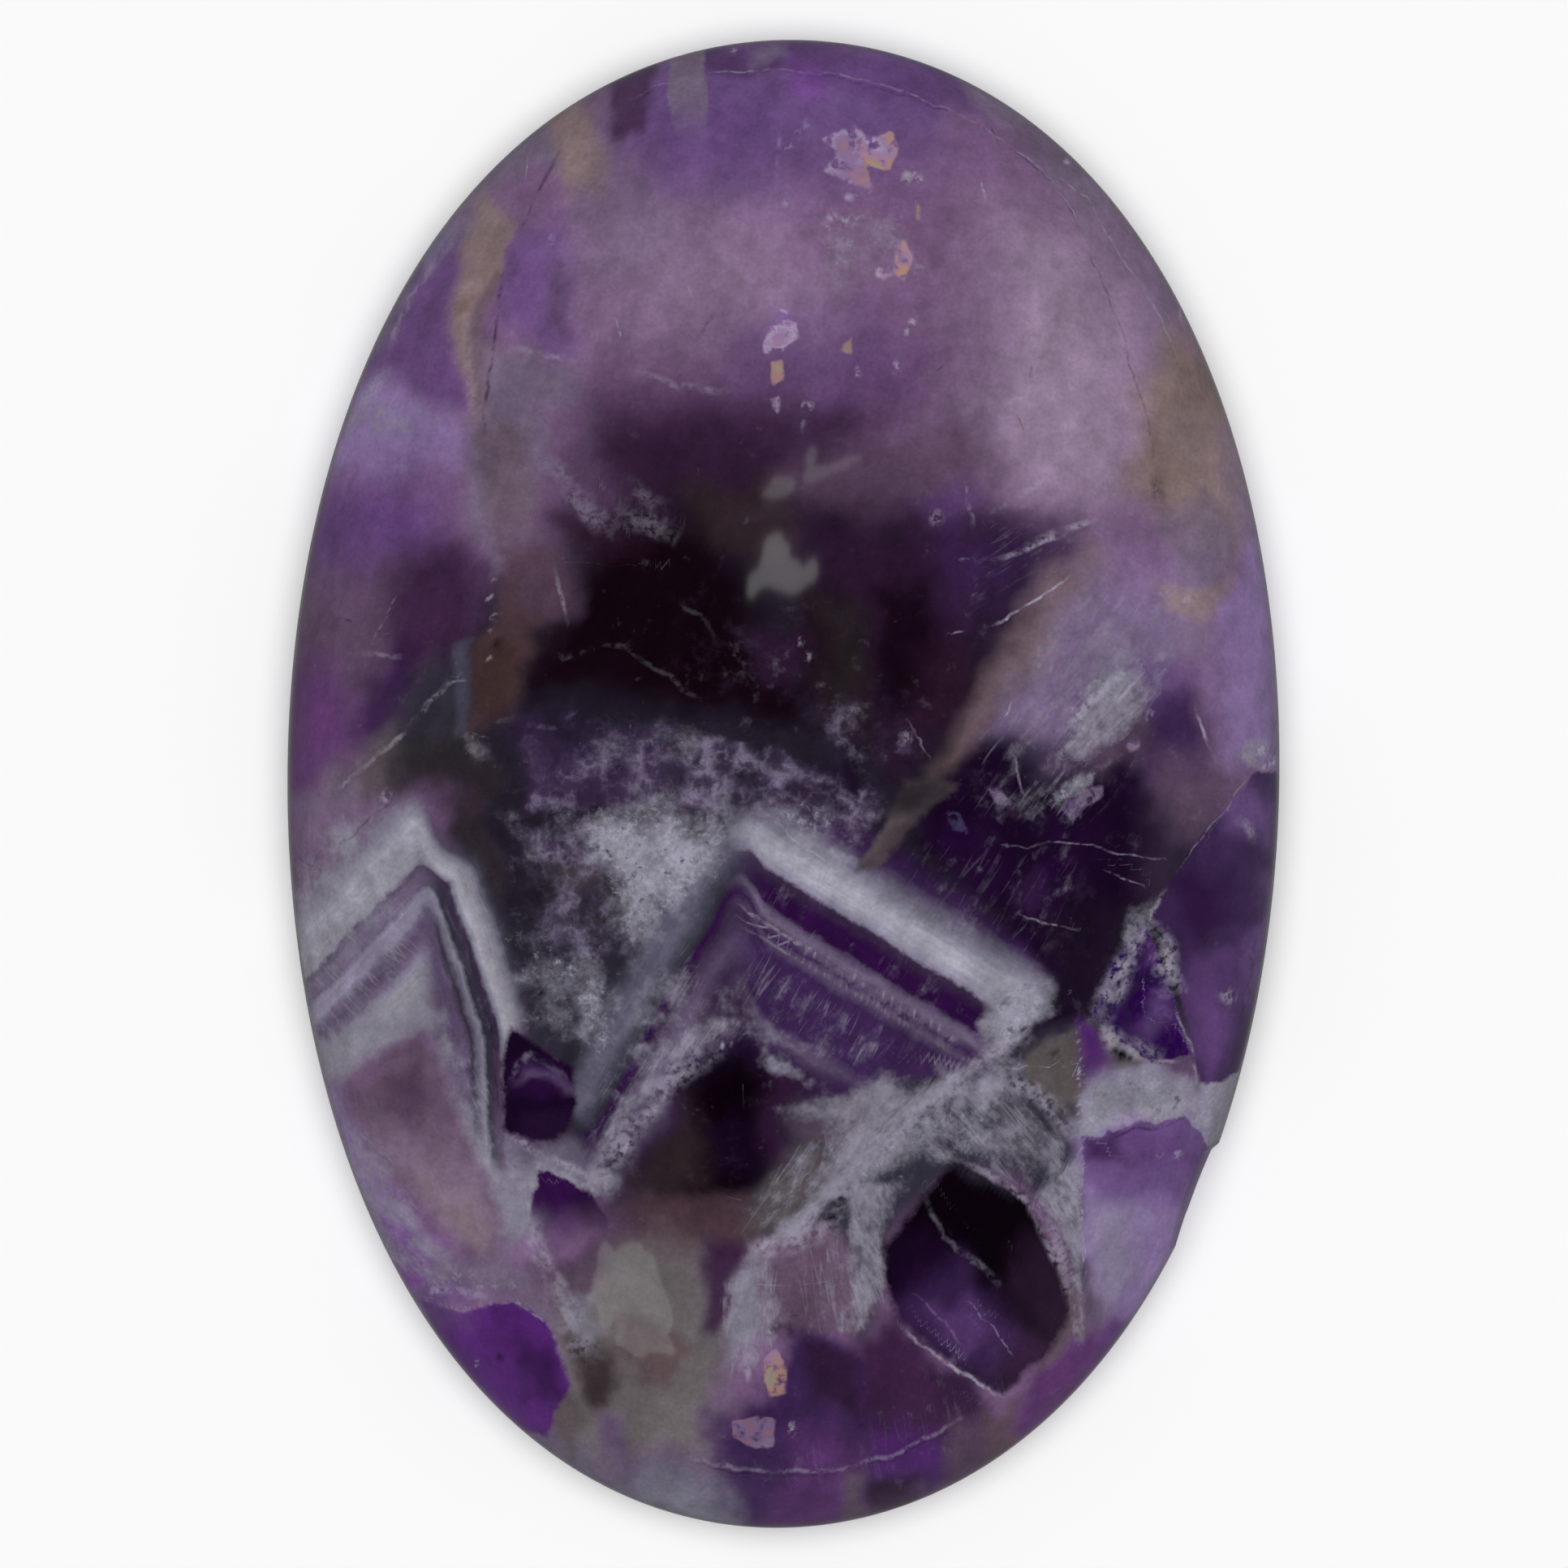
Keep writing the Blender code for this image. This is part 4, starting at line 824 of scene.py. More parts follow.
# Fine pale marks in the crystal: healed cracks, needles and the lit edges of facets, and the back's edge
# painted where it shows through the rim.
# Each is its width, strength, softness (1 crisp, 3 a blurred glow) and run of corners.
paleMarks = [
    # painted view through the crystal: the edge of the back, where it shows through the rim, drawn as pale
    # lines
    (0.09, 0.35, 1, [(-4.65, 20.58), (-3.61, 21.1), (-2.25, 21.4), (0, 21.52), (1.58, 21.38),
        (3.67, 20.85), (5.86, 19.9), (7.73, 18.55), (8.67, 17.3), (9.4, 15.65)]),
    (0.1, 0.4, 1, [(8.26, 18.29), (9.19, 17.56), (9.72, 16.62), (10.34, 15.58), (10.86, 14.95),
        (11.59, 13.49), (11.8, 12.87)]),
    (0.14, 0.4, 2, [(-9.7, 16.6), (-10.5, 15.6), (-11, 15), (-11.6, 13.9), (-11.9, 13)]),
    (0.1, 0.3, 2, [(-2.81, -20.31), (-1.43, -20.62), (0.02, -20.72), (1.74, -20.6), (3.11, -20.27),
        (4.37, -19.7), (5.52, -19.05)]),
    # upper half
    (0.09, 0.5, 1, [(-7.78, 19.02), (-7.7, 18.7), (-7.8, 18.18)]),
    (0.16, 0.75, 1, [(-5.02, 13.95), (-4.98, 13.55)]),
    (0.1, 0.45, 1, [(-4.81, 15), (-4.86, 14.64)]),
    (0.1, 0.35, 1, [(-2.88, 15), (-2.67, 14.64)]),
    (0.16, 0.35, 2, [(-8.2, 13.18), (-7.16, 12.92), (-6.32, 12.71)]),
    (0.16, 0.3, 2, [(-4.34, 12.4), (-3.09, 11.98), (-1.73, 11.77)]),
    (0.3, 0.2, 3, [(-7.16, 9.84), (-6.3, 8.9), (-5.49, 7.65)]),
    (0.3, 0.25, 3, [(-6.6, 9.2), (-5.9, 8.1), (-5.1, 7.6)]),
    (0.3, 0.25, 3, [(-5, 8.2), (-4.1, 7.8), (-3.2, 7.5)]),
    (0.3, 0.2, 3, [(-4.7, 9), (-4, 8.4), (-3.4, 8.2)]),
    (0.22, 0.4, 3, [(-12.9, 11.2), (-11.85, 12.45)]),
    (0.16, 0.3, 3, [(-9.6, 14.2), (-9.5, 12.8), (-9.3, 11.2)]),
    (0.14, 0.5, 1, [(11.8, 14.64), (12.1, 13.7)]),
    (0.1, 0.8, 1, [(6.01, 18.18), (5.96, 17.87), (6.12, 17.66)]),
    (0.12, 0.4, 2, [(6.38, 11.35), (7.21, 11.61), (7.79, 11.98)]),
    (0.12, 0.35, 2, [(7.58, 10.41), (8.15, 10.57)]),
    (0.14, 0.45, 2, [(6.27, 8.17), (7.2, 8.7), (8.15, 9.42)]),
    (0.14, 0.3, 2, [(7.3, 7.2), (8.6, 7.7), (9.5, 8.1)]),
    (0.1, 0.35, 2, [(5.49, 9.21), (5.6, 8.38), (5.73, 7.75)]),
    (0.2, 0.3, 3, [(1.1, 16.5), (1.7, 16.2), (2, 15.5)]),
    (0.14, 0.3, 2, [(-0.1, 19.8), (-0.15, 19), (-0.3, 18.2)]),
    # left and middle
    (0.12, 0.1, 2, [(-5.38, 4.18), (-4.76, 4.18), (-4.24, 3.66), (-3.4, 3.24), (-2.88, 2.72),
        (-2.15, 2.31)]),
    (0.12, 0.3, 2, [(-8.62, 1.89), (-7.99, 1.87), (-6.95, 1.73)]),
    (0.12, 0.35, 1, [(-12.32, 4.39), (-11.85, 5.23), (-11.64, 5.64)]),
    (0.12, 0.3, 2, [(-12.48, 3.92), (-11.48, 3.85)]),
    (0.1, 0.3, 2, [(-6.95, 6.69), (-6.53, 4.81)]),
    (0.12, 0.15, 2, [(-3, 5.3), (-2.5, 5.1), (-2.2, 4.6)]),
    (0.12, 0.4, 2, [(-13.6, -0.3), (-12.9, 0.3), (-11.5, 1.47), (-10.1, 3.1)]),
    (0.1, 0.3, 1, [(3.7, 1.9), (4.4, 0.8)]),
    (0.12, 0.4, 1, [(-10.23, 3.02), (-9.55, 3.12)]),
    # right of the heart
    (0.1, 0.7, 1, [(5.28, 6.77), (5.7, 6.81)]),
    (0.12, 0.6, 2, [(6.27, 6.74), (7.21, 7), (8.67, 7.63), (9.4, 7.99)]),
    (0.13, 0.85, 1, [(6.27, 4.76), (7.21, 5.28), (7.94, 5.75), (8.67, 6.25)]),
    (0.1, 0.5, 1, [(5.02, 4.5), (5.44, 4.6)]),
    (0.12, 0.7, 1, [(6.6, 2), (6.9, 2.4)]),
    (0.13, 0.55, 1, [(6.9, 0.9), (7.05, 0.2), (7.2, -0.3)]),
    (0.2, 0.8, 1, [(9.8, 2.2), (10.4, 2.9), (10.8, 3.3)]),
    (0.2, 0.65, 2, [(8.3, 1.4), (9.2, 2.4), (10.2, 3.5)]),
    (0.14, 0.7, 1, [(12.43, 2.3), (12.69, 1.47), (13, 0.74)]),
    (0.1, 0.5, 1, [(6.69, -1.87), (7.3, -1.92), (7.73, -1.8), (8.99, -1.76), (10.03, -2.07),
        (11.49, -2.28)]),
    (0.1, 0.5, 1, [(7.1, -3.9), (7.94, -4.21), (8.88, -4.42)]),
    (0.1, 0.45, 1, [(9.7, -2.6), (10.9, -3.1)]),
    (0.08, 0.35, 1, [(14.5, 0.75), (14.3, 0.6), (13.58, -0.41), (12.64, -1.55), (12.01, -2.39),
        (11.54, -3.01)]),
    (0.25, 0.5, 2, [(13.7, -1.1), (14, -1.3), (14.15, -1.75)]),
    # the pocket's sugary rims and the seam under it
    (0.2, 0.6, 1, [(11.5, -3.1), (10.95, -4.2), (10.15, -5.25)]),
    (0.6, 0.75, 2, [(11, -4.1), (10.45, -5.2), (9.95, -6.2), (9.5, -7)]),
    (0.3, 0.5, 1, [(10.3, -5.2), (9.8, -6.4), (9.3, -6.95)]),
    (0.5, 0.6, 2, [(9.3, -7.1), (9.9, -7.7), (10.6, -8), (11.4, -8.3)]),
    (0.2, 0.6, 1, [(9.3, -7.2), (9.8, -7.6), (10.5, -7.9), (11.2, -8.4), (12.2, -8.4)]),
    (0.55, 0.7, 2, [(11.1, -4.5), (11.45, -5), (11.5, -5.6), (11.75, -6.3)]),
    (0.16, 0.6, 1, [(11, -4.4), (11.5, -4.8), (11.4, -5.6), (11.7, -6), (11.9, -7), (12.3, -8),
        (12.45, -9)]),
    (0.3, 0.6, 2, [(9, -10.35), (9.7, -10.3), (10.5, -10), (11.2, -9.9), (12.6, -9.6)]),
    (0.1, 0.5, 1, [(12.5, -9.3), (12.8, -10.8)]),
    (0.08, 0.6, 1, [(8.85, -7.1), (8.9, -9), (9, -11), (9, -13), (9.1, -15)]),
    (0.1, 0.6, 1, [(8.3, -7.7), (8.5, -8.4)]),
    # bottom
    (0.2, 0.5, 2, [(-8.43, -10.5), (-7.39, -11.1), (-6.25, -11.6), (-5.56, -12.1)]),
    (0.25, 0.35, 3, [(-7.62, -12.86), (-7.16, -14.46), (-6.25, -16.07), (-5.56, -17.33)]),
    (0.1, 0.35, 3, [(-8.2, -8.8), (-7.7, -8.1), (-6.6, -8.8)]),
    (0.45, 0.5, 3, [(-5.67, -12.28), (-4.53, -10.1), (-3.15, -8.6), (-2.1, -7.8)]),
    (0.14, 0.8, 1, [(-5.5, -12.4), (-4.4, -10.3), (-3.1, -8.8), (-2.1, -8), (-1.1, -7.5)]),
    (0.3, 0.5, 3, [(-6.6, -16.2), (-6.2, -17.2)]),
    (0.35, 0.75, 1, [(-1.15, -17.5), (-1.05, -17.95)]),
    (0.4, 0.4, 3, [(1.16, -13.09), (2.88, -11.25), (4.49, -9.53), (5.52, -8.84), (7.35, -7.35)]),
    # crisp lines under the right chevron's band
    (0.16, 0.5, 1, [(-1.35, -3.65), (-0.73, -4.05), (2, -5.71), (4, -6.93), (5.6, -7.9)]),
    (0.16, 0.3, 1, [(-1.2, -4.3), (2, -6.24), (4, -7.45), (5, -8.06)]),
    (0.3, 0.15, 3, [(1, -5.3), (3, -6.5), (5.4, -7.95)]),
    (0.12, 0.6, 1, [(-0.5, -0.9), (0.4, -1.8), (1.2, -2.3), (1.9, -2.5)]),
    (0.4, 0.6, 3, [(-1, -14.2), (0.7, -13.5), (1.6, -13.4)]),
    (0.3, 0.6, 3, [(6.5, -8.9), (7.8, -9.4), (8.8, -10.6)]),
    (0.16, 0.5, 2, [(5.3, -11.35), (6.44, -11.9), (7.35, -12.51), (8.04, -14), (8.73, -15.49),
        (8.9, -16.87)]),
    (0.3, 0.5, 3, [(7.7, -12.8), (8.4, -14.2), (8.9, -15.6)]),
    (0.1, 0.2, 3, [(4.26, -12.4), (4.83, -13.66), (5.75, -14.35), (6.44, -15.03)]),
    (0.09, 0.5, 1, [(5.63, -15.61), (6.4, -16.5), (6.95, -17.27)]),
    (0.07, 0.25, 2, [(4, -15.4), (4.8, -16.2), (5.4, -17)]),
    (0.2, 0.8, 1, [(3.51, -16.35), (4.03, -16.81), (4.95, -17.44), (5.86, -18.02), (6.55, -18.47)]),
    (0.2, 0.35, 2, [(-10.9, -15.1), (-9.8, -15.25), (-8.6, -15.6)]),
    (0.1, 0.5, 1, [(-10.9, -15.5), (-9.6, -15.9), (-8.6, -15.65), (-8.08, -15.6), (-7.16, -16.2),
        (-6.7, -17.1)]),
]

# Dark cracks and joins, and the back's edge painted as a thin dark line where it shows through the rim, in
# the same terms.
darkMarks = [
    (0.16, 0.5, 1, [(-7.99, 16.41), (-7.68, 17.25), (-7.16, 18.29), (-6.63, 19.23)]),
    (0.18, 0.7, 1, [(-8.46, 15.37), (-8.62, 14.12), (-8.77, 13.07), (-8.93, 11.72), (-9.03, 10.57)]),
    # painted view through the crystal: the edge of the back inside the upper right rim, as a thin dark
    # line
    (0.09, 0.45, 1, [(0.02, 21.42), (1.58, 21.27), (2.62, 21), (3.67, 20.73), (4.71, 20.31),
        (5.86, 19.79), (6.69, 19.27), (7.73, 18.44), (8.26, 17.86), (8.67, 17.19), (9.09, 16.46),
        (9.4, 15.52), (9.77, 14.79), (10.03, 13.95), (10.29, 13.22), (10.45, 12.6), (10.76, 11.66),
        (10.97, 10.93), (11.12, 9.99), (11.28, 9.05), (11.38, 8.01)]),
    (0.3, 0.45, 2, [(11.2, 9.7), (11.3, 8.9), (11.4, 8.1)]),
    (0.1, 0.6, 1, [(1.27, 11.72), (1.58, 12.13), (1.74, 11.77)]),
    (0.1, 0.5, 1, [(6.17, 19.9), (6.38, 19.59), (6.53, 19.33)]),
    (0.1, 0.55, 1, [(7.53, 12.71), (7.44, 12.19)]),
    (0.1, 0.55, 1, [(7.11, 11.09), (7.27, 10.52)]),
    (0.1, 0.5, 1, [(6.59, 16.41), (6.74, 16.57)]),
    (0.1, 0.5, 1, [(4.35, 12.29), (4.92, 12.71)]),
    (0.12, 0.35, 2, [(-2, 14.3), (-2.3, 13.9), (-2.7, 13.3)]),
    (0.16, 0.8, 1, [(-13.36, 4.99), (-12.89, 4.93)]),
    (0.12, 0.6, 1, [(-14.77, -1.87), (-14.46, -2.34), (-14.09, -2.54), (-13.67, -2.91)]),
    (0.12, 0.5, 1, [(-13.47, -1.87), (-12.89, -1.55), (-12.48, -1.03), (-12.06, -0.77),
        (-11.54, -0.41)]),
    (0.14, 0.8, 1, [(11.1, -4), (10.2, -5.2), (9.5, -6.4), (9.05, -7.1), (8, -7.2), (7.3, -7.6)]),
    (0.16, 0.6, 2, [(14.5, -3), (14.1, -5.6), (13.7, -7.4)]),
    (0.12, 0.5, 1, [(12.9, -4.3), (12.6, -5.1)]),
    (0.12, 0.5, 1, [(14.4, -2), (14.2, -2.7)]),
    (0.14, 0.5, 1, [(13.5, -8.1), (13.6, -8.8)]),
    (0.12, 0.7, 1, [(9.2, -10.75), (9.9, -10.7), (10.6, -10.3), (11.1, -10.4), (12.1, -10.1)]),
    (0.2, 0.7, 2, [(-0.8, -17), (0, -16.1), (0.4, -17)]),
    # painted view through the crystal: the edge of the back inside the lower rim, as a thin dark line
    (0.12, 0.5, 1, [(-2.81, -20.42), (-1.43, -20.76), (0.02, -20.86), (1.74, -20.74), (3.11, -20.4),
        (4.37, -19.82), (5.52, -19.15)]),
    (0.25, 0.5, 2, [(8.7, 18.6), (8.95, 18.4)]),
    (0.1, 0.5, 1, [(7, -14.3), (7.1, -14.5)]),
    (0.12, 0.6, 1, [(-9.7, -4.3), (-9.1, -6.2), (-8.7, -8), (-8.6, -10)]),
]
# Thin gaps in old cracks that split light into colours: start of the rainbow, brightness, corners.
flakes = [
    (0.2, 0.6, [(1.1, 19.4), (1.9, 19.7), (2.3, 19.3), (2.5, 18.6), (2.75, 17.8), (2, 18.1),
        (1.1, 18.5), (1.7, 18.9)]),
    (0.5, 0.9, [(2.1, 19.1), (2.6, 19.4), (3.3, 19.7), (3.46, 19.1), (3.15, 18.4), (2.52, 18.6)]),
    (0.2, 0.75, [(2.15, 19.85), (2.83, 19.33), (2.62, 19.23), (2.1, 19.54)]),
    (0.45, 0.9, [(3.35, 16.2), (3.67, 16.41), (3.93, 15.89), (3.67, 15.06), (3.35, 15.37)]),
    (0.3, 0.8, [(2.68, 15.47), (3.15, 15.58), (3.35, 15.32), (3.04, 15.11), (2.73, 15.21)]),
    (0.6, 0.6, [(3.93, 17.77), (4.14, 17.45), (4.14, 16.93), (3.98, 17.04)]),
    (0.15, 0.75, [(-0.7, 12.9), (-0.45, 13.7), (-0.15, 14.3), (0.4, 14.2), (0.5, 13.4), (0, 13.1),
        (-0.4, 13)]),
    (0.5, 0.7, [(-0.4, 12.7), (0, 12.8), (0.1, 12.2), (-0.3, 12)]),
    (0.3, 0.5, [(-0.45, 11.6), (-0.1, 11.7), (-0.15, 11.1)]),
    (0.55, 0.5, [(1.63, 13.07), (2.1, 13.54), (2.1, 12.86)]),
    (0.1, 0.3, [(6.1, -0.1), (6.5, -0.1), (6.9, -0.6), (6.4, -0.6)]),
    (0.1, 0.2, [(4.9, -0.8), (5.3, -0.9), (5.6, -1.5), (5.1, -1.4)]),
    (0.2, 0.3, [(8.36, -0.77), (8.67, -0.3), (9.61, 0.01), (9.56, -0.41), (9.09, -0.72),
        (8.62, -1.08)]),
    (0.2, 0.35, [(10.3, 1.2), (10.7, 1.5), (10.8, 1.1), (10.4, 0.9)]),
    (0.12, 0.45, [(10.85, 2.1), (11.15, 2.2), (11.2, 2), (10.9, 1.95)]),
    (0.5, 0.7, [(-0.55, -17.3), (-0.2, -17), (0.1, -17.6), (0.05, -18.4), (-0.4, -18.5), (-0.6, -18)]),
    (0.4, 0.45, [(-1.6, -19.2), (-0.8, -19), (-0.2, -19.1), (-0.3, -19.9), (-1, -20), (-1.5, -19.7)]),
]

# Round specks: x, y, radius, strength (pale above 0, dark below). The dark ones are small pits, their
# hollows' shade painted near black.
specks = [
    (1.5, 17.1, 0.12, 0.7), (1.85, 16.95, 0.1, 0.7), (0.1, 17.5, 0.08, 0.6), (2, 17.7, 0.09, 0.7),
    (0.4, 19.5, 0.1, 0.6), (0.2, 19.2, 0.08, 0.5), (0.7, 19.9, 0.09, 0.5), (3.7, 18.3, 0.14, 0.7),
    (4.1, 18.25, 0.12, 0.7), (3.95, 18.5, 0.08, 0.6), (2.26, 12.45, 0.1, 0.8), (3.37, 12.55, 0.09, 0.7),
    (3.93, 13.96, 0.1, 0.8), (3.67, 13.6, 0.08, 0.7), (0.7, 11.4, 0.14, 0.6), (0.6, 10.8, 0.08, 0.6),
    (4.6, 8.07, 0.16, 0.35), (-1.5, 22.1, 0.07, 0.7), (8.5, 18.7, 0.08, 0.8), (0.5, 4.3, 0.1, 0.55),
    (0.7, 3.8, 0.08, 0.5), (3.7, 1.4, 0.14, 0.4), (-8.75, 6.2, 0.07, 0.7), (-8.8, 5.6, 0.06, 0.7),
    (-8.72, 5.0, 0.08, 0.7), (-8.78, 4.6, 0.06, 0.6), (-8.6, 4.25, 0.12, -0.7), (-8.8, 3.8, 0.06, 0.7),
    (-11.95, -0.35, 0.13, 0.7), (-7.26, -6.33, 0.12, -0.9), (11.02, 2.07, 0.1, 0.6),
        (11.5, 5.8, 0.12, 0.5),
    (12.1, 5.5, 0.1, 0.5), (14.4, 1, 0.14, 0.8), (14.7, 0.7, 0.12, 0.8), (14.5, 0.5, 0.1, 0.7),
    (-8.5, -17.25, 0.1, -0.8), (-9.2, -17.45, 0.1, 0.6), (1.42, -13.05, 0.13, -1),
        (0.25, -19.4, 0.12, 0.7),
    (13.4, -6.4, 0.2, 0.5), (10.2, -8.2, 0.16, -1), (10, -8.05, 0.1, -0.9), (10.4, -8.3, 0.1, -0.9),
    (11.9, -11.2, 0.1, 0.7), (11.3, -11.2, 0.1, 0.6), (7.07, -14.4, 0.08, -0.7), (-7.0, 16.4, 0.1, 0.3),
    (6.7, -6.6, 0.1, -0.8), (8.2, -8.1, 0.1, -0.6), (4.9, -9.9, 0.08, -0.7), (-10.5, -15.3, 0.1, 0.6),
]

# Colour inside the crisp zones, laid like the soft ones.
innerZones = [
    # dark crystal, lower right
    ("ink", 0.8, 0.9, [(3, -13.6), (4.4, -13.4), (5.4, -14.6), (5, -15.8), (3.2, -15.4)]),
    ("darkViolet", 0.7, 0.85, [(3.6, -15.2), (5.4, -14.8), (6.6, -15.6), (6.9, -17), (6.2, -18.2),
        (4.4, -17), (3.2, -16)]),
    ("violet", 0.5, 0.6, [(4.2, -15.6), (5.6, -15.4), (6, -16.4), (5, -17)]),
    ("plum", 0.7, 0.8, [(7.2, -14), (8.1, -14.4), (8.7, -15.6), (8.4, -16.6), (7.4, -16.6),
        (6.9, -15.2)]),
    ("plumSoft", 0.5, 0.7, [(6.4, -16.4), (7.6, -16.8), (7.4, -17.8), (6.6, -18.2)]),
    ("slateDark", 0.4, 0.8, [(5.3, -11.3), (6.6, -11.9), (7.4, -12.7), (6.8, -12.8), (5.6, -12)]),
    # mauve crystal, left
    ("mauvePale", 1.4, 0.8, [(-12, -11), (-10.6, -10.8), (-9.4, -11.4), (-8.6, -13), (-9, -14.6),
        (-10.6, -13.4)]),
    ("tan", 0.9, 0.6, [(-10.8, -12), (-9.5, -12.2), (-9, -13.8), (-10, -13.2)]),
    ("mauve", 0.4, 0.5, [(-13.2, -9.2), (-12.5, -8.5), (-11.7, -8), (-11.9, -8.5), (-12.7, -9.6)]),
    ("mauveDeep", 0.6, 0.7, [(-12, -8.9), (-10.9, -8.2), (-10.3, -9.2), (-11, -10.2), (-12, -10)]),
    # parallelogram and small crystals
    ("deepViolet", 0.4, 0.6, [(-8.2, -7.5), (-7, -8.2), (-6.4, -8.8), (-7.4, -9.2), (-8.3, -8.8)]),
    ("darkViolet", 0.25, 0.8, [(-8, -7.7), (-7, -8.3), (-6.6, -8.6), (-6.9, -8.8), (-8, -8.3)]),
    ("dusk", 0.25, 0.6, [(-8.2, -8.6), (-7.8, -8.1), (-6.4, -8.7), (-6.4, -9), (-7.6, -8.5)]),
    ("darkViolet", 0.4, 0.2, [(-7.6, -9.8), (-6.6, -9.6), (-6.5, -10.4), (-7.4, -10.6)]),
    ("ink", 0.4, 0.7, [(-6.9, -11.9), (-5.9, -12.4), (-5.6, -13), (-6.6, -12.8)]),
    # violet between the fracture and the right rim
    ("softViolet", 0.6, 0.9, [(13.4, -0.1), (14.4, 0.2), (14.9, -1), (14.4, -2), (13.4, -1.2)]),
    ("deepViolet", 0.7, 0.9, [(11.6, -3), (12.8, -2.6), (13.4, -4), (12.6, -5.2), (11.8, -4.4)]),
    ("violet", 0.7, 0.9, [(12.2, -6), (13.6, -5.4), (13.8, -7.6), (13, -8.8), (12.4, -8)]),
    ("softViolet", 0.5, 0.6, [(14, -3), (15, -3), (14.8, -6), (14.2, -7.4), (13.9, -6)]),
    ("deepViolet", 0.5, 0.7, [(9.1, -10.5), (10.4, -10.6), (10.4, -11.5), (9.2, -11.6)]),
    ("violet", 0.5, 0.7, [(10.4, -10.4), (12.2, -10.3), (12.5, -11.6), (10.8, -11.9)]),
    # inside the pocket
    ("softViolet", 0.6, 0.6, [(11, -6.6), (11.5, -6.2), (12, -7.6), (11, -8), (10.4, -7.4)]),
    ("violet", 0.4, 0.6, [(10.6, -5), (11.2, -5), (11.3, -5.8), (10.6, -5.8)]),
    # violet crystal, lower left
    ("deepViolet", 0.5, 0.3, [(-8.6, -16), (-7.4, -16.2), (-7, -17.4), (-8, -18), (-8.8, -17)]),
    ("violet", 0.5, 0.8, [(-10.6, -15.7), (-9.4, -15.8), (-9.2, -16.8), (-10, -17.2)]),
    ("deepViolet", 0.5, 0.7, [(-7.4, -17.4), (-6.6, -17.6), (-6.6, -19), (-7.6, -18.8)]),
    # olive wedge: dark at its upper end
    ("oliveBlack", 0.7, 0.8, [(3.6, -0.9), (4.2, -0.8), (5.2, 0), (4.6, 0.4), (3.5, 0.1)]),
    ("olive", 0.5, 0.8, [(2.2, -2.5), (2.8, -2.5), (3, -2.2), (4, -1), (3.2, -1)]),
]
# How the pattern inside the crystal runs down through it, and how far its soft edges wander.
grain = {
    "slant": (0.35, -0.5),       # shift across and along for each millimetre of depth
    # size, reach, seed of the noise that soft edges, crisp edges and fine marks follow
    "wander": [(3.3, 0.6, 21), (1.3, 0.32, 22), (0.5, 0.14, 23), (0.2, 0.06, 25)],
    "blur": 0.8,                 # how much more the soft zones melt into each other,
    "blurMost": 1.4,             # up to this softness
    "milkBlur": 2.2,             # the same for the veils, lace and frost
    "fibreBlur": 1.5,
    "crispWander": [(0.9, 0.05, 24), (0.25, 0.03, 25)],
    "markWander": [(0.35, 0.06, 26), (0.15, 0.03, 27)],
    "crispReach": 1.5,           # how far from a crisp zone its distance is measured
    "farOff": 50.0,              # the distance beyond that
    "plainEdge": 0.1,
}


def patternPlan(points):
    # the plan that the pattern is drawn on, as the photograph's view sees it; on the girdle and the
    # back it is shifted by how deep they lie
    x, y, z = points.T
    share = np.hypot(x / halfSize[0], y / halfSize[1])
    under = np.maximum(0, stoneCut["girdleTop"] - z)
    depth = np.where(z > 0.001, under, domeHeight(np.minimum(share, 1)))
    spread = (viewHeight - stoneCut["girdleTop"]) / (viewHeight - z)
    return points[:, :2] * spread[:, None] + depth[:, None] * np.array(grain["slant"])


def wandered(spots, steps):
    moved = spots.copy()
    for size, reach, seed in steps:
        moved[:, 0] += valueNoise(spots, size, seed) * reach
        moved[:, 1] += valueNoise(spots, size, seed + 0.5) * reach
    return moved


def easeIn(value):
    value = np.clip(value, 0, 1)
    return value * value * (3 - 2 * value)


def nearBox(spots, corners, margin):
    corners = np.asarray(corners, dtype=float)
    low, high = corners.min(axis=0) - margin, corners.max(axis=0) + margin
    return np.flatnonzero(np.all((spots > low) & (spots < high), axis=1))


def softWeight(spots, corners, soft):
    # 1 inside a zone and 0 outside it, easing over its soft edge
    weight = np.zeros(len(spots))
    near = nearBox(spots, corners, soft)
    if len(near):
        weight[near] = easeIn(0.5 - zoneDistance(spots[near], corners) / soft)
    return weight


def paintZones(colours, spots, zones):
    for tint, soft, strength, corners in zones:
        soft *= 1 + grain["blur"] * min(soft, grain["blurMost"])
        weight = softWeight(spots, corners, soft)[:, None] * strength
        colours = colours * (1 - weight) + np.array(toLinear(tints[tint])) * weight
    return colours


def fadeWeight(spots, fade):
    full, gone = np.array(fade[0]), np.array(fade[1])
    run = gone - full
    return easeIn(1 - (spots - full) @ run / (run @ run))


def cutZones(spots, zones):
    # for each point: the distance to the nearest crisp zone, its tint, its edge and its fade
    nearest = np.full(len(spots), grain["farOff"])
    colours = np.zeros((len(spots), 3))
    edge = np.full(len(spots), grain["plainEdge"])
    weight = np.ones(len(spots))
    for tint, width, corners, fade in zones:
        near = nearBox(spots, corners, grain["crispReach"])
        distance = zoneDistance(spots[near], corners)
        closer = near[distance < nearest[near]]
        nearest[near] = np.minimum(nearest[near], distance)
        colours[closer] = toLinear(tints[tint])
        edge[closer] = width
        weight[closer] = fadeWeight(spots[closer], fade) if fade else 1
    return nearest, colours, edge, weight


def storeColours(piece, name, colours):
    layer = piece.data.attributes.new(name, "FLOAT_COLOR", "POINT")
    layer.data.foreach_set("color", np.column_stack([colours, np.ones(len(colours))]).ravel())


def storeVectors(piece, name, *columns):
    layer = piece.data.attributes.new(name, "FLOAT_VECTOR", "POINT")
    layer.data.foreach_set("vector", np.column_stack(columns).astype(float).ravel())


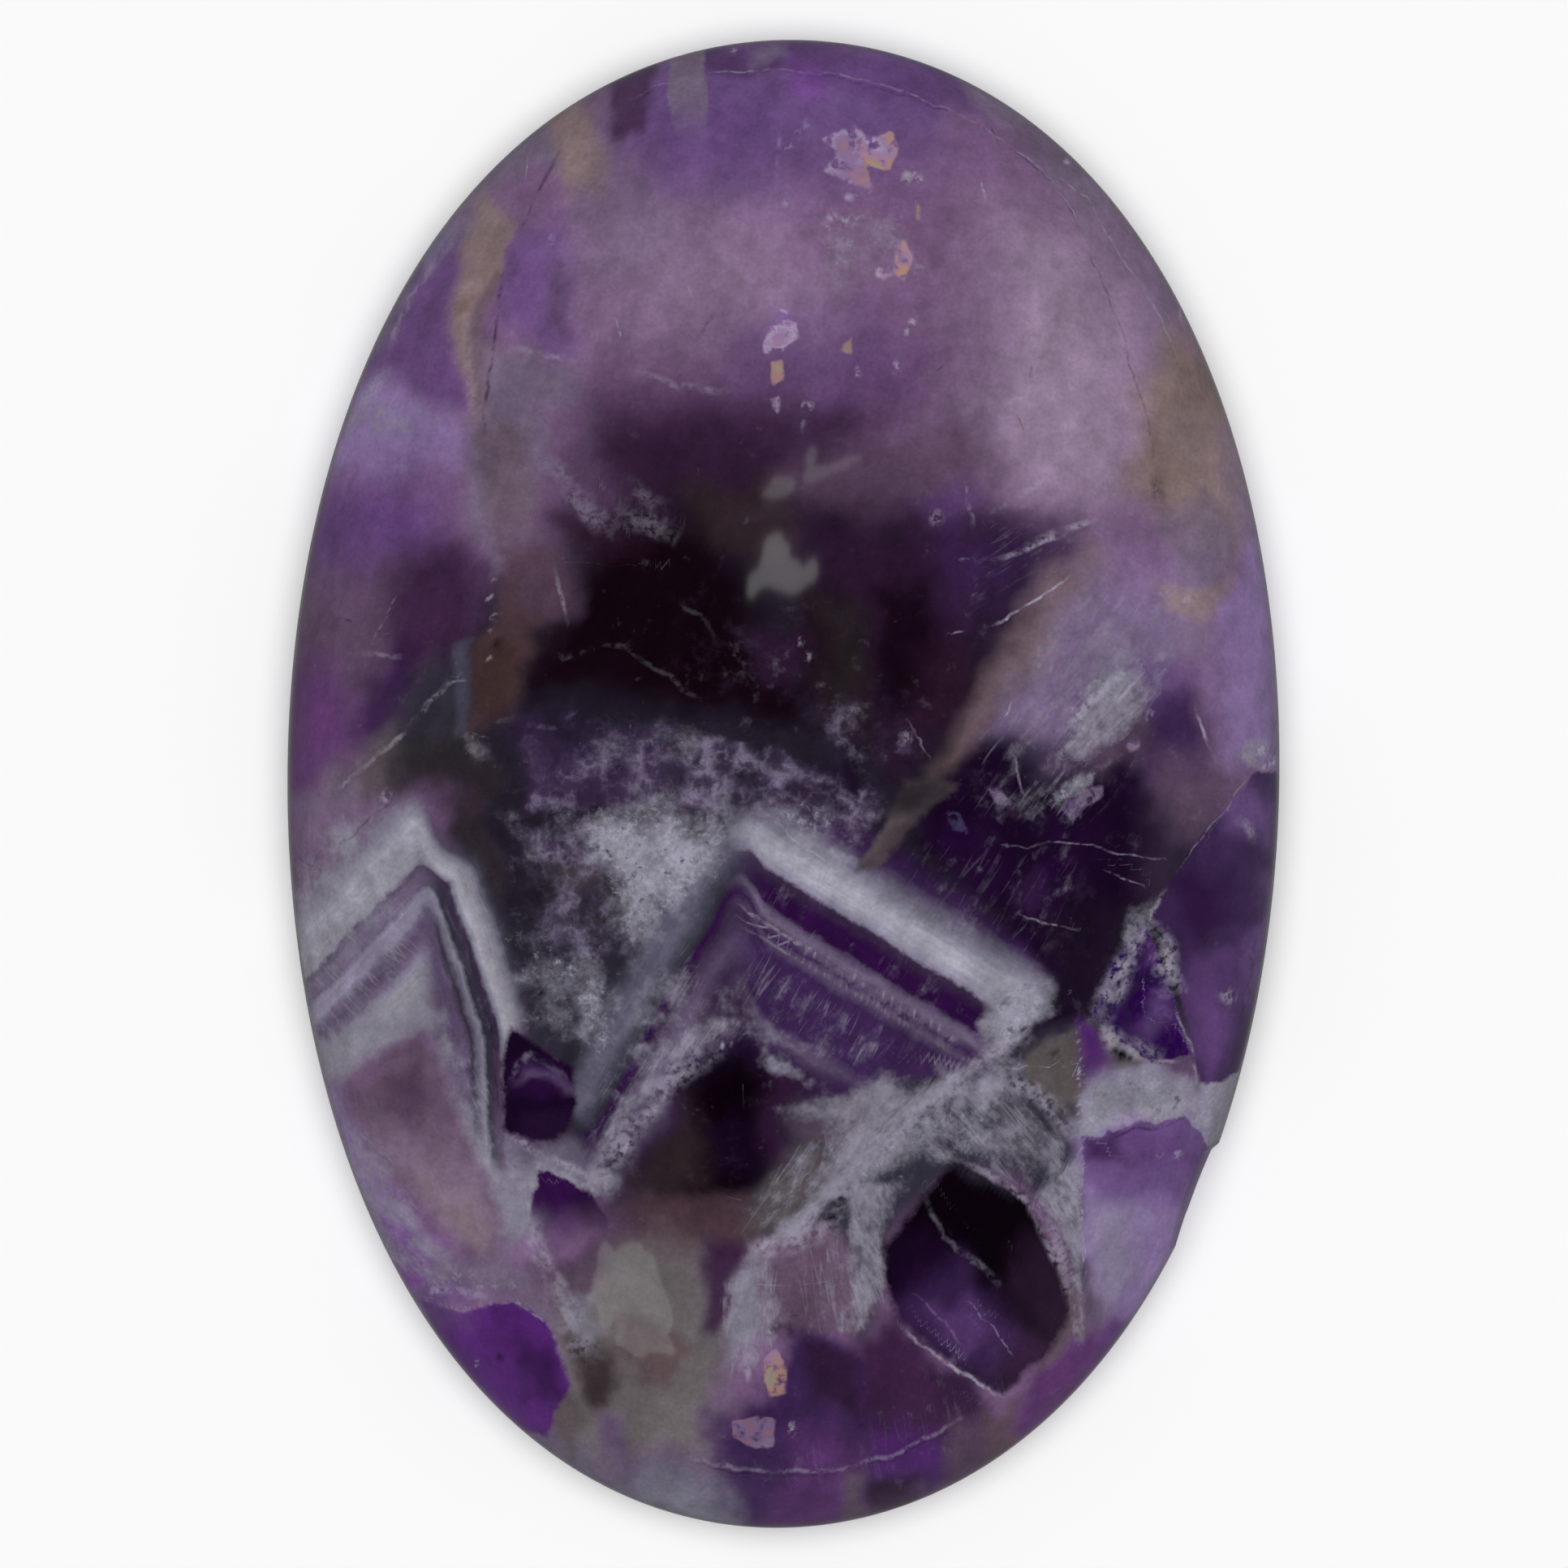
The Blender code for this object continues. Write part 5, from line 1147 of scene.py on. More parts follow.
plan = patternPlan(uncut)
softPlan = wandered(plan, grain["wander"])
crispPlan = wandered(plan, grain["crispWander"])
underTint = paintZones(np.zeros((len(plan), 3)), softPlan, softZones)
cutDistance, overTint, cutEdge, cutWeight = cutZones(crispPlan, crispZones)
overTint = paintZones(overTint, softPlan, innerZones)
storeColours(stone, "underTint", underTint)
storeColours(stone, "overTint", overTint)
storeVectors(stone, "cut", cutDistance, cutEdge, cutWeight)
storeVectors(stone, "worn", hollow, broken, np.zeros(len(plan)))
print("stage: colour zones laid")


def signedDistance(spots, corners):
    nearest, side = lineDistances(spots, corners)
    return nearest * np.where(side == 0, 1, side)


def chevronField(spots, name):
    # distance from the chevron's inner edge, which limb holds (0 outer, 1 inner), and where it shows
    chevron = chevrons[name]
    swapStart, swapEnd = chevron["swapAt"]
    limb = easeIn((spots[:, 0] - swapStart) / (swapEnd - swapStart))
    distances = {way: signedDistance(spots, chevron[way]) for way in ("outerLimb", "innerLimb")}
    closer = distances[chevron["closerLimb"]]
    closer *= np.where(closer < 0, chevron["insideScale"], chevron["outsideScale"])
    soft, corners = chevronReach[name]
    distance = distances["outerLimb"] * (1 - limb) + distances["innerLimb"] * limb
    return distance, limb, softWeight(spots, corners, soft)


def fibreField(spots):
    # across and along the fibres of whichever zone is densest at each point, and how dense they are
    density = np.zeros(len(spots))
    across, along = spots[:, 0].copy(), spots[:, 1].copy()
    for degrees, dense, soft, corners in fibreZones:
        soft *= grain["fibreBlur"]
        weight = softWeight(spots, corners, soft) * dense
        ahead = weight > density
        way = np.array([math.cos(math.radians(degrees)), math.sin(math.radians(degrees))])
        along[ahead] = spots[ahead] @ way
        across[ahead] = spots[ahead] @ np.array([-way[1], way[0]])
        density = np.maximum(density, weight)
    return across, along, density


def densestOf(spots, zones):
    density = np.zeros(len(spots))
    for dense, soft, corners in zones:
        soft *= grain["milkBlur"]
        density = np.maximum(density, softWeight(spots, corners, soft) * dense)
    return density


storeVectors(stone, "leftChevron", *chevronField(crispPlan, "left"))
storeVectors(stone, "rightChevron", *chevronField(crispPlan, "right"))
storeVectors(stone, "fibre", *fibreField(plan))
storeVectors(stone, "milk", densestOf(softPlan, veilZones), densestOf(softPlan, laceZones),
             densestOf(softPlan, frostZones))
print("stage: chevrons, fibres and frost laid")


# How fine marks, specks and flakes are drawn, in mm or in shares of a mark's width.
markShape = {
    "reach": 0.9,              # how far from a mark its distance is measured
    "farOff": 9.0,             # the distance beyond that
    "taper": 0.8,              # how far from its ends a mark thins
    "tip": 0.15,
    "thinnest": 0.35,
    "flakeReach": 0.5,
}


def markField(spots, marks):
    # signed distance to the nearest mark as a share of half its width, its strength and its blur
    ratio = np.full(len(spots), markShape["farOff"])
    strength = np.zeros(len(spots))
    blur = np.ones(len(spots))
    reach = np.full(len(spots), markShape["farOff"])
    for width, force, soft, corners in marks:
        near = nearBox(spots, corners, markShape["reach"])
        distance = signedDistance(spots[near], corners)
        corners = np.array(corners)
        fromStart, fromEnd = spots[near] - corners[0], spots[near] - corners[-1]
        toEnds = np.minimum(np.hypot(*fromStart.T), np.hypot(*fromEnd.T))
        length = np.hypot(*np.diff(corners, axis=0).T).sum()
        taper = easeIn(markShape["tip"] + toEnds / min(markShape["taper"], length / 2))
        startWay, endWay = corners[0] - corners[1], corners[-1] - corners[-2]
        past = np.maximum(fromStart @ startWay / np.hypot(*startWay),
                          fromEnd @ endWay / np.hypot(*endWay))
        beyond = (past > 0) & (toEnds < np.abs(distance) + 1e-6)
        cut = np.where(beyond, 1 - easeIn(past / markShape["tip"]), 1)
        taper = cut * np.maximum(taper, markShape["thinnest"])
        gap = np.abs(distance) / (width * soft)
        closer = gap < reach[near]
        chosen = near[closer]
        reach[chosen] = gap[closer]
        ratio[chosen] = distance[closer] / (width / 2)
        shown = easeIn(1.6 - np.abs(distance[closer]) / (width * soft + 0.2))
        strength[chosen] = force * taper[closer] * shown
        blur[chosen] = soft
    return ratio, strength, blur


def speckFields(spots, scatter):
    pale, dark = np.zeros(len(spots)), np.zeros(len(spots))
    for x, y, radius, force in scatter:
        gap = np.hypot(spots[:, 0] - x, spots[:, 1] - y)
        shown = easeIn(1.3 - 0.75 * gap / radius) * abs(force)
        if force > 0:
            pale = np.maximum(pale, shown)
        else:
            dark = np.maximum(dark, shown)
    return pale, dark


def flakeField(spots):
    # signed distance to the nearest flake, where its rainbow starts, and its brightness
    nearest = np.full(len(spots), markShape["farOff"])
    hue, bright = np.zeros(len(spots)), np.zeros(len(spots))
    for start, light, corners in flakes:
        near = nearBox(spots, corners, markShape["flakeReach"])
        distance = zoneDistance(spots[near], corners)
        closer = distance < nearest[near]
        chosen = near[closer]
        nearest[chosen] = distance[closer]
        hue[chosen], bright[chosen] = start, light
    return nearest, hue, bright


markPlan = wandered(plan, grain["markWander"])
pale, dark = speckFields(markPlan, specks)
storeVectors(stone, "paleMark", *markField(markPlan, paleMarks))
storeVectors(stone, "darkMark", *markField(markPlan, darkMarks))
storeVectors(stone, "flake", *flakeField(markPlan))
storeVectors(stone, "speck", pale, dark, np.zeros(len(plan)))
print("stage: fine marks laid")


def addNode(tree, kind, settings=None, **links):
    # adds a node, sets what settings names and feeds its inputs with values or other nodes' outputs;
    # i0, i1 and so on are inputs by their place
    node = tree.nodes.new("ShaderNode" + kind)
    for name, value in (settings or {}).items():
        setattr(node, name, value)
    for name, value in links.items():
        byPlace = name[0] == "i" and name[1:].isdigit()
        socket = node.inputs[int(name[1:]) if byPlace else name]
        if isinstance(value, bpy.types.NodeSocket):
            tree.links.new(value, socket)
        else:
            socket.default_value = value
    return node


# Settings that many of the nodes share.
eased = {"interpolation_type": "SMOOTHSTEP"}
unclamped = {"clamp": False}
ofColour = {"data_type": "RGBA"}
multiply = {"operation": "MULTIPLY"}
multiplyAdd = {"operation": "MULTIPLY_ADD"}
divide = {"operation": "DIVIDE"}
absolute = {"operation": "ABSOLUTE"}
scaleBy = {"operation": "SCALE"}

# The crystal's fine textures. Sizes, widths, lengths and reaches are in mm.
texture = {
    "cloud": (2.2, 0.16),                # size, share of light and dark
    "mottle": (0.6, 0.12),
    "grit": (0.13, 0.1),
    "wisp": (1.1, 6.0, -18, 0.13),       # broad faint streaks: width, length, degrees, share
    "bandSilk": (0.11, 2.6),             # fine lines along a chevron: width, length
    "bandSilkLevels": (0.9, 1.08),
    "bandWaver": (0.35, 0.3),            # how the chevrons' bands waver: size, reach
    "silkCloud": (0.6, 1.1),             # width, length
    "silkStreak": (0.16, 0.42),
    "hair": (0.4, 5.0),
    "hairHalf": 0.03,                    # half a hair's width, as a share of the noise it follows
    "veil": 0.9,
    "laceMist": 0.7,
    "lacePatch": 1.1,
    "lace": [(0.8, 0.75), (0.36, 0.55)],             # size of the holes, strength of the strands
    "frostPatch": 1.2,
    "frost": [(1.04, 0.5), (0.26, 0.55)],            # size of the grains, strength
    "frostPore": 0.416,
    "crispFray": (0.5, 0.09),            # how crisp zones fray: size, reach
    "flakeWaver": (0.8, 0.24),
    "flakeHues": 1.6,                    # how much of the rainbow the waver runs through
}
depth = {"saturation": 1.12, "value": 0.92}                # how much deeper the colour is than its tints
finish = {"polish": 0.05, "pocket": 0.2, "chip": 0.3}      # roughness; the last two add to the first
quartzIndex = 1.544
# the pit tint is painted shade: the dark inside small pits
markTints = {"pale": "#aaa3b6", "dark": "#241a2b", "pitShade": "#08050a"}
milkTints = {"veil": "#8d8a97", "lace": "#837990", "frost": "#a1a0ae", "gap": "#3d3a45",
             "mist": "#564a62", "fibre": "#928e9c"}
flakeTints = ["#b3a3bd", "#9d7fa8", "#a98390", "#b08a72", "#a3987f", "#7d979a", "#6a6ba3",
              "#81589a", "#b3a3bd"]


def noiseMask(tree, place, size, low, high, detail=2.0):
    # patches of noise about this size: 0 where the noise is under low, 1 where it is over high
    noise = addNode(tree, "TexNoise", None, Vector=place, Scale=1 / size, Detail=detail, Roughness=0.55)
    return addNode(tree, "MapRange", eased, i0=noise.outputs[0], i1=low, i2=high).outputs[0]


def layTint(tree, base, tint, *weights):
    # lays a tint over the base, by the product of the weights
    weight = weights[0]
    for more in weights[1:]:
        weight = addNode(tree, "Math", multiply, i0=weight, i1=more).outputs[0]
    tint = (*toLinear(tint), 1) if isinstance(tint, str) else tint
    return addNode(tree, "Mix", ofColour, i0=weight, i6=base, i7=tint).outputs[2]


def brighten(tree, base, place, size, share):
    # lightens and darkens the base by this share in patches of noise
    noise = addNode(tree, "TexNoise", None, Vector=place, Scale=1 / size, Detail=3.0, Roughness=0.6)
    level = addNode(tree, "MapRange", unclamped, i0=noise.outputs[0], i1=0.3, i2=0.7,
                    i3=1 - share, i4=1 + share).outputs[0]
    return addNode(tree, "VectorMath", scaleBy, i0=base, i3=level).outputs[0]


def readField(tree, name):
    field = addNode(tree, "Attribute", {"attribute_name": name}).outputs["Vector"]
    return addNode(tree, "SeparateXYZ", None, i0=field).outputs


def drawnOut(tree, across, along, width, length):
    # a place whose noise is as wide and as long as this
    across = addNode(tree, "Math", divide, i0=across, i1=width).outputs[0]
    along = addNode(tree, "Math", divide, i0=along, i1=length).outputs[0]
    return addNode(tree, "CombineXYZ", None, i0=across, i1=along).outputs[0]


def fillRamp(ramp, stops):
    # sets a colour ramp's marks from pairs of a place, 0 to 1, and a colour with alpha
    marks = ramp.color_ramp.elements
    marks[0].position = 0
    marks[1].position = 1
    for place, _ in stops[1:-1]:
        marks.new(place)
    for mark, (_, colour) in zip(marks, stops):
        mark.color = colour


def bandRamp(tree, distance, name):
    # the colours of one limb by distance from its edge, with how strongly each lies over the ground
    stops = bandRamps[name]
    first, last = stops[0][0], stops[-1][0]
    share = addNode(tree, "MapRange", None, i0=distance, i1=first, i2=last).outputs[0]
    ramp = addNode(tree, "ValToRGB", None, i0=share)
    fillRamp(ramp, [((place - first) / (last - first), (*toLinear(tints[tint]), strength))
                    for place, tint, strength in stops])
    return ramp.outputs


def layChevron(tree, base, name, place):
    # both limbs of a chevron, with fine silk lines that run along them
    distance, limb, reach = readField(tree, name + "Chevron")
    downwards = {"operation": "DOT_PRODUCT"}
    stretch = addNode(tree, "VectorMath", downwards, i0=place, i1=(0.5, -1, 0)).outputs[1]
    silkPlace = drawnOut(tree, distance, stretch, *texture["bandSilk"])
    silk = addNode(tree, "TexNoise", None, Vector=silkPlace, Scale=1.0, Detail=3.0, Roughness=0.6)
    size, waver = texture["bandWaver"]
    shift = addNode(tree, "TexNoise", None, Vector=place, Scale=1 / size, Detail=3.0, Roughness=0.65)
    moved = addNode(tree, "Math", multiplyAdd, i0=shift.outputs[0], i1=waver, i2=distance).outputs[0]
    moved = addNode(tree, "Math", {"operation": "SUBTRACT"}, i0=moved, i1=waver / 2).outputs[0]
    outer, inner = (bandRamp(tree, moved, name + way) for way in ("Outer", "Inner"))
    tint = addNode(tree, "Mix", ofColour, i0=limb, i6=outer[0], i7=inner[0]).outputs[2]
    strength = addNode(tree, "Mix", None, i0=limb, i2=outer[1], i3=inner[1]).outputs[0]
    dim, bright = texture["bandSilkLevels"]
    level = addNode(tree, "MapRange", unclamped, i0=silk.outputs[0], i1=0.3, i2=0.7,
                    i3=dim, i4=bright).outputs[0]
    tint = addNode(tree, "VectorMath", scaleBy, i0=tint, i3=level).outputs[0]
    return layTint(tree, base, tint, strength, reach)


def coverage(tree, place, density, size, detail=5.0, low=0.62, high=1.12):
    # torn patches of noise that spread and join as the density rises: bare at 0, whole at 1
    noise = addNode(tree, "TexNoise", None, Vector=place, Scale=1 / size, Detail=detail, Roughness=0.68)
    level = addNode(tree, "Math", multiplyAdd, i0=density, i1=0.62, i2=noise.outputs[0]).outputs[0]
    return addNode(tree, "MapRange", eased, i0=level, i1=low, i2=high).outputs[0]


def layLace(tree, base, place, density):
    # a purple mist with a web of pale frayed strands round darker holes, coarse and fine
    mist = coverage(tree, place, density, texture["laceMist"], 7.0)
    mist = addNode(tree, "Math", multiply, i0=mist, i1=0.4).outputs[0]
    base = layTint(tree, base, milkTints["mist"], mist)
    cover = coverage(tree, place, density, texture["lacePatch"], 7.0, 0.72, 1.0)
    toEdge = {"feature": "DISTANCE_TO_EDGE"}
    for size, share in texture["lace"]:
        warp = addNode(tree, "TexNoise", None, Vector=place, Scale=1.6 / size, Detail=5.0, Roughness=0.7)
        reach = (size * 1.1,) * 3
        warped = addNode(tree, "VectorMath", multiplyAdd, i0=warp.outputs[1], i1=reach, i2=place)
        cells = addNode(tree, "TexVoronoi", toEdge, Vector=warped.outputs[0], Scale=1 / size).outputs[0]
        strand = addNode(tree, "MapRange", None, i0=cells, i1=0.46, i2=0.0).outputs[0]
        strand = addNode(tree, "Math", {"operation": "POWER"}, i0=strand, i1=2.6).outputs[0]
        strand = addNode(tree, "Math", multiply, i0=strand, i1=share).outputs[0]
        uneven = noiseMask(tree, place, size * 1.4, 0.42, 0.6, 6.0)
        base = layTint(tree, base, milkTints["lace"], strand, uneven, cover)
    return base


def layFrost(tree, base, place, density):
    # a thin haze under crisp grains that crowd together as the density rises, with dark pores between
    cover = coverage(tree, place, density, texture["frostPatch"], 6.0)
    base = layTint(tree, base, milkTints["veil"], cover)
    some = addNode(tree, "MapRange", eased, i0=density, i1=0.04, i2=0.3).outputs[0]
    for size, share in texture["frost"]:
        noise = addNode(tree, "TexNoise", None, Vector=place, Scale=1 / size, Detail=9.0, Roughness=0.74)
        level = addNode(tree, "Math", multiplyAdd, i0=density, i1=0.3, i2=noise.outputs[0]).outputs[0]
        grains = addNode(tree, "MapRange", eased, i0=level, i1=0.66, i2=0.84, i4=share).outputs[0]
        base = layTint(tree, base, milkTints["frost"], grains, some)
    pores = noiseMask(tree, place, texture["frostPore"], 0.43, 0.33, 7.0)
    return layTint(tree, base, milkTints["gap"], pores, cover)


def layFibres(tree, base, place):
    # silk that thickens with the density, streaked along its way, and separate thin hairs over it
    across, along, density = readField(tree, "fibre")
    cloudWay, streakWay, hairWay = (drawnOut(tree, across, along, *texture[kind])
                                    for kind in ("silkCloud", "silkStreak", "hair"))
    cloud = coverage(tree, cloudWay, density, 1.0, 7.0, 0.64, 1.04)
    streak = addNode(tree, "TexNoise", None, Vector=streakWay, Scale=1.0, Detail=5.0, Roughness=0.65)
    streak = addNode(tree, "MapRange", eased, i0=streak.outputs[0], i1=0.36, i2=0.64, i3=0.5, i4=1.0)
    base = layTint(tree, base, milkTints["fibre"], cloud, streak.outputs[0])
    wave = addNode(tree, "TexNoise", None, Vector=hairWay, Scale=1.0, Detail=1.5, Roughness=0.5).outputs[0]
    gap = addNode(tree, "Math", {"operation": "SUBTRACT"}, i0=wave, i1=0.5).outputs[0]
    gap = addNode(tree, "Math", absolute, i0=gap).outputs[0]
    hair = addNode(tree, "MapRange", eased, i0=gap, i1=texture["hairHalf"], i2=0.0, i4=0.55).outputs[0]
    patch = noiseMask(tree, place, 0.9, 0.44, 0.62, 5.0)
    some = addNode(tree, "MapRange", eased, i0=density, i1=0.08, i2=0.4).outputs[0]
    return layTint(tree, base, milkTints["fibre"], hair, patch, some)


def layMarks(tree, base, place, name, tint):
    # thin lines: full along the middle, gone at the edge, which is wider where the mark is blurred
    ratio, strength, blur = readField(tree, name)
    gap = addNode(tree, "Math", absolute, i0=ratio).outputs[0]
    gap = addNode(tree, "Math", divide, i0=gap, i1=blur).outputs[0]
    shown = addNode(tree, "MapRange", eased, i0=gap, i1=1.0, i2=0.1).outputs[0]
    broken = noiseMask(tree, place, 0.7, 0.3, 0.62, 5.0)
    crumbled = noiseMask(tree, place, 0.2, 0.32, 0.56, 4.0)
    return layTint(tree, base, tint, shown, strength, broken, crumbled)


def layFlakes(tree, base, place):
    # torn flakes whose hue wanders through a pale rainbow
    distance, start, bright = readField(tree, "flake")
    size, reach = texture["flakeWaver"]
    waver = addNode(tree, "TexNoise", None, Vector=place, Scale=1 / size, Detail=4.0, Roughness=0.6)
    waver = waver.outputs[0]
    hue = addNode(tree, "Math", multiplyAdd, i0=waver, i1=texture["flakeHues"], i2=start).outputs[0]
    hue = addNode(tree, "Math", {"operation": "FRACT"}, i0=hue).outputs[0]
    ramp = addNode(tree, "ValToRGB", None, i0=hue)
    last = len(flakeTints) - 1
    fillRamp(ramp, [(i / last, (*toLinear(tint), 1)) for i, tint in enumerate(flakeTints)])
    moved = addNode(tree, "Math", multiplyAdd, i0=waver, i1=reach, i2=distance).outputs[0]
    inside = addNode(tree, "MapRange", eased, i0=moved, i1=0.16, i2=0.06).outputs[0]
    torn = noiseMask(tree, place, 0.4, 0.32, 0.5, 4.0)
    return layTint(tree, base, ramp.outputs[0], inside, bright, torn)


def layCrystals(tree, base, place):
    # the crisp zones, with a slightly frayed edge
    over = addNode(tree, "Attribute", {"attribute_name": "overTint"}).outputs["Color"]
    distance, edge, weight = readField(tree, "cut")
    size, reach = texture["crispFray"]
    noise = addNode(tree, "TexNoise", None, Vector=place, Scale=1 / size, Detail=6.0, Roughness=0.7)
    fray = addNode(tree, "MapRange", unclamped, i0=noise.outputs[0], i1=0.3, i2=0.7, i3=-reach, i4=reach)
    distance = addNode(tree, "Math", {"operation": "ADD"}, i0=distance, i1=fray.outputs[0]).outputs[0]
    ratio = addNode(tree, "Math", divide, i0=distance, i1=edge).outputs[0]
    inside = addNode(tree, "MapRange", eased, i0=ratio, i1=0.5, i2=-0.5).outputs[0]
    return layTint(tree, base, over, inside, weight)


def polishedAmethyst():
    # Quartz coloured by iron, cut and polished: a glassy surface over clouds, silk and frost inside.
    material = bpy.data.materials.new("polished chevron amethyst")
    material.use_nodes = True
    tree = material.node_tree
    shader = tree.nodes["Principled BSDF"]
    spot = addNode(tree, "TexCoord").outputs["Object"]
    place = addNode(tree, "VectorMath", scaleBy, i0=spot, i3=1 / mm).outputs[0]

    colour = addNode(tree, "Attribute", {"attribute_name": "underTint"}).outputs["Color"]
    colour = layChevron(tree, colour, "left", place)
    colour = layChevron(tree, colour, "right", place)
    veil, lace, frost = readField(tree, "milk")
    colour = layTint(tree, colour, milkTints["veil"], coverage(tree, place, veil, texture["veil"], 3.0))
    colour = layLace(tree, colour, place, lace)
    colour = layFrost(tree, colour, place, frost)
    colour = layCrystals(tree, colour, place)
    colour = layFibres(tree, colour, place)

    wide, long, degrees, share = texture["wisp"]
    wispPlace = addNode(tree, "Mapping", {"vector_type": "TEXTURE"}, Vector=place,
                        Rotation=(0, 0, math.radians(degrees)), Scale=(wide, long, wide)).outputs[0]
    colour = brighten(tree, colour, wispPlace, 1.0, share)
    for name in ("cloud", "mottle", "grit"):
        colour = brighten(tree, colour, place, *texture[name])
    colour = addNode(tree, "HueSaturation", None, Saturation=depth["saturation"], Value=depth["value"],
                     Color=colour).outputs[0]

    colour = layMarks(tree, colour, place, "darkMark", markTints["dark"])
    colour = layMarks(tree, colour, place, "paleMark", markTints["pale"])
    colour = layFlakes(tree, colour, place)
    pale, dark, _ = readField(tree, "speck")
    crumbs = noiseMask(tree, place, 0.2, 0.42, 0.55, 4.0)
    colour = layTint(tree, colour, markTints["pale"], pale, crumbs)
    # painted shade: the dark specks are small pits, made near black in the colour, not hollowed in the
    # mesh
    colour = layTint(tree, colour, markTints["pitShade"], dark)
    tree.links.new(colour, shader.inputs["Base Color"])

    hollowed, chipped, _ = readField(tree, "worn")
    roughness = addNode(tree, "Math", multiplyAdd, i0=hollowed, i1=finish["pocket"],
                        i2=finish["polish"]).outputs[0]
    roughness = addNode(tree, "Math", multiplyAdd, i0=chipped, i1=finish["chip"], i2=roughness).outputs[0]
    tree.links.new(roughness, shader.inputs["Roughness"])
    shader.inputs["IOR"].default_value = quartzIndex
    return material


stone.data.materials.clear()
stone.data.materials.append(polishedAmethyst())
print("stage: material made")


# A pale table, a broad soft light overhead, and bright cards high up that show as shapes in the polish.
studio = {
    "floorColour": "#fdfdfd",
    "floorReach": 4000,
    "overhead": {"place": (0, 0, 900), "size": 900, "radiance": 4.1},
    "skyFill": 0.16,
    # the sine of the elevation, and how bright the room is there in the polish
    "skyInGloss": [(0.0, 0.14), (0.17, 0.14), (0.5, 0.08), (0.75, 0.02), (1.0, 0.01)],
    "cardHeight": 300,
}

# Where the cards are seen in the stone's polish: radiance, and corners in the plan of the stone.
shines = [
    (1.9, [(-1, 5.6), (-0.85, 5.5), (-0.65, 5.8), (-0.45, 5.88), (-0.05, 5.7), (0.15, 5.6), (0.4, 5.7),
        (0.5, 5.85), (0.75, 5.98), (0.85, 6.2), (0.83, 6.6), (0.75, 6.7), (0.6, 6.6), (0.47, 6.4),
        (0.35, 6.62), (0.1, 6.75), (0.13, 7.05), (0.08, 7.15), (-0.03, 7.2), (-0.1, 7.45), (-0.2, 7.48),
        (-0.45, 7.35), (-0.55, 7.15), (-0.6, 6.7), (-0.7, 6.4), (-0.95, 6.2)]),
    (1.4, [(-0.63, 8.55), (-0.35, 8.5), (-0.1, 8.5), (0.2, 8.7), (0.27, 8.95), (0.18, 9.1),
        (-0.05, 9.12), (-0.35, 9.1), (-0.4, 8.85), (-0.55, 8.75)]),
    (1.3, [(0.42, 8.95), (0.6, 8.92), (0.95, 9.05), (1.2, 9.25), (1.6, 9.4), (2, 9.68), (1.98, 9.72),
        (1.65, 9.7), (1.2, 9.48), (0.7, 9.45), (0.8, 9.8), (0.78, 9.95), (0.68, 10.05), (0.58, 9.95),
        (0.48, 9.6), (0.57, 9.45), (0.5, 9.3)]),
    (1.25, [(-5, -13.5), (-4.85, -13.65), (-4.7, -13.85), (-4.45, -13.6), (-3.9, -13.6), (-3.85, -13.8),
        (-3.5, -14.05), (-3.4, -14.5), (-3.25, -15), (-3.1, -15.3), (-2.93, -15.75), (-2.95, -16.2),
        (-3.05, -16.45), (-2.85, -16.9), (-2.88, -17.08), (-3.15, -17), (-3.6, -16.98), (-3.85, -17.15),
        (-4.05, -17.1), (-4.3, -16.85), (-4.6, -16.75), (-4.65, -16.5), (-4.57, -16.35),
        (-4.62, -15.95), (-4.8, -16.15), (-5, -16.25), (-5.13, -16.1), (-5.15, -15.75), (-5.25, -15.45),
        (-5.4, -15.5), (-5.55, -15.25), (-5.35, -15), (-5.37, -14.65), (-5.25, -14.4), (-5.22, -13.9),
        (-5.1, -13.6)]),
]

# The photograph's view: straight down on the middle of the stone. Lens and sensor are in mm too.
camera = {
    "height": viewHeight,
    "lens": 200.0,
    "sensor": 36.0,
    "aimX": 0.017,
    "aimY": -0.005,
}


def makeFloor():
    bpy.ops.mesh.primitive_plane_add(size=studio["floorReach"] * mm, location=(0, 0, -0.02 * mm))
    floor = bpy.context.object
    floor.name = "paleFloor"
    bpy.ops.object.transform_apply(location=True, rotation=True, scale=True)
    paper = bpy.data.materials.new("matt white paper")
    paper.use_nodes = True
    shader = paper.node_tree.nodes["Principled BSDF"]
    shader.inputs["Base Color"].default_value = (*toLinear(studio["floorColour"]), 1)
    shader.inputs["Roughness"].default_value = 0.9
    shader.inputs["Specular IOR Level"].default_value = 0.1
    floor.data.materials.append(paper)
    floor.visible_glossy = False


def addOverheadLight():
    over = studio["overhead"]
    bpy.ops.object.light_add(type="AREA", location=[v * mm for v in over["place"]])
    light = bpy.context.object
    light.name = "overheadSoftLight"
    light.data.shape = "DISK"
    light.data.size = over["size"] * mm
    light.data.energy = (math.pi * over["size"] * mm / 2) ** 2 * over["radiance"]
    light.visible_glossy = False
    light.visible_camera = False


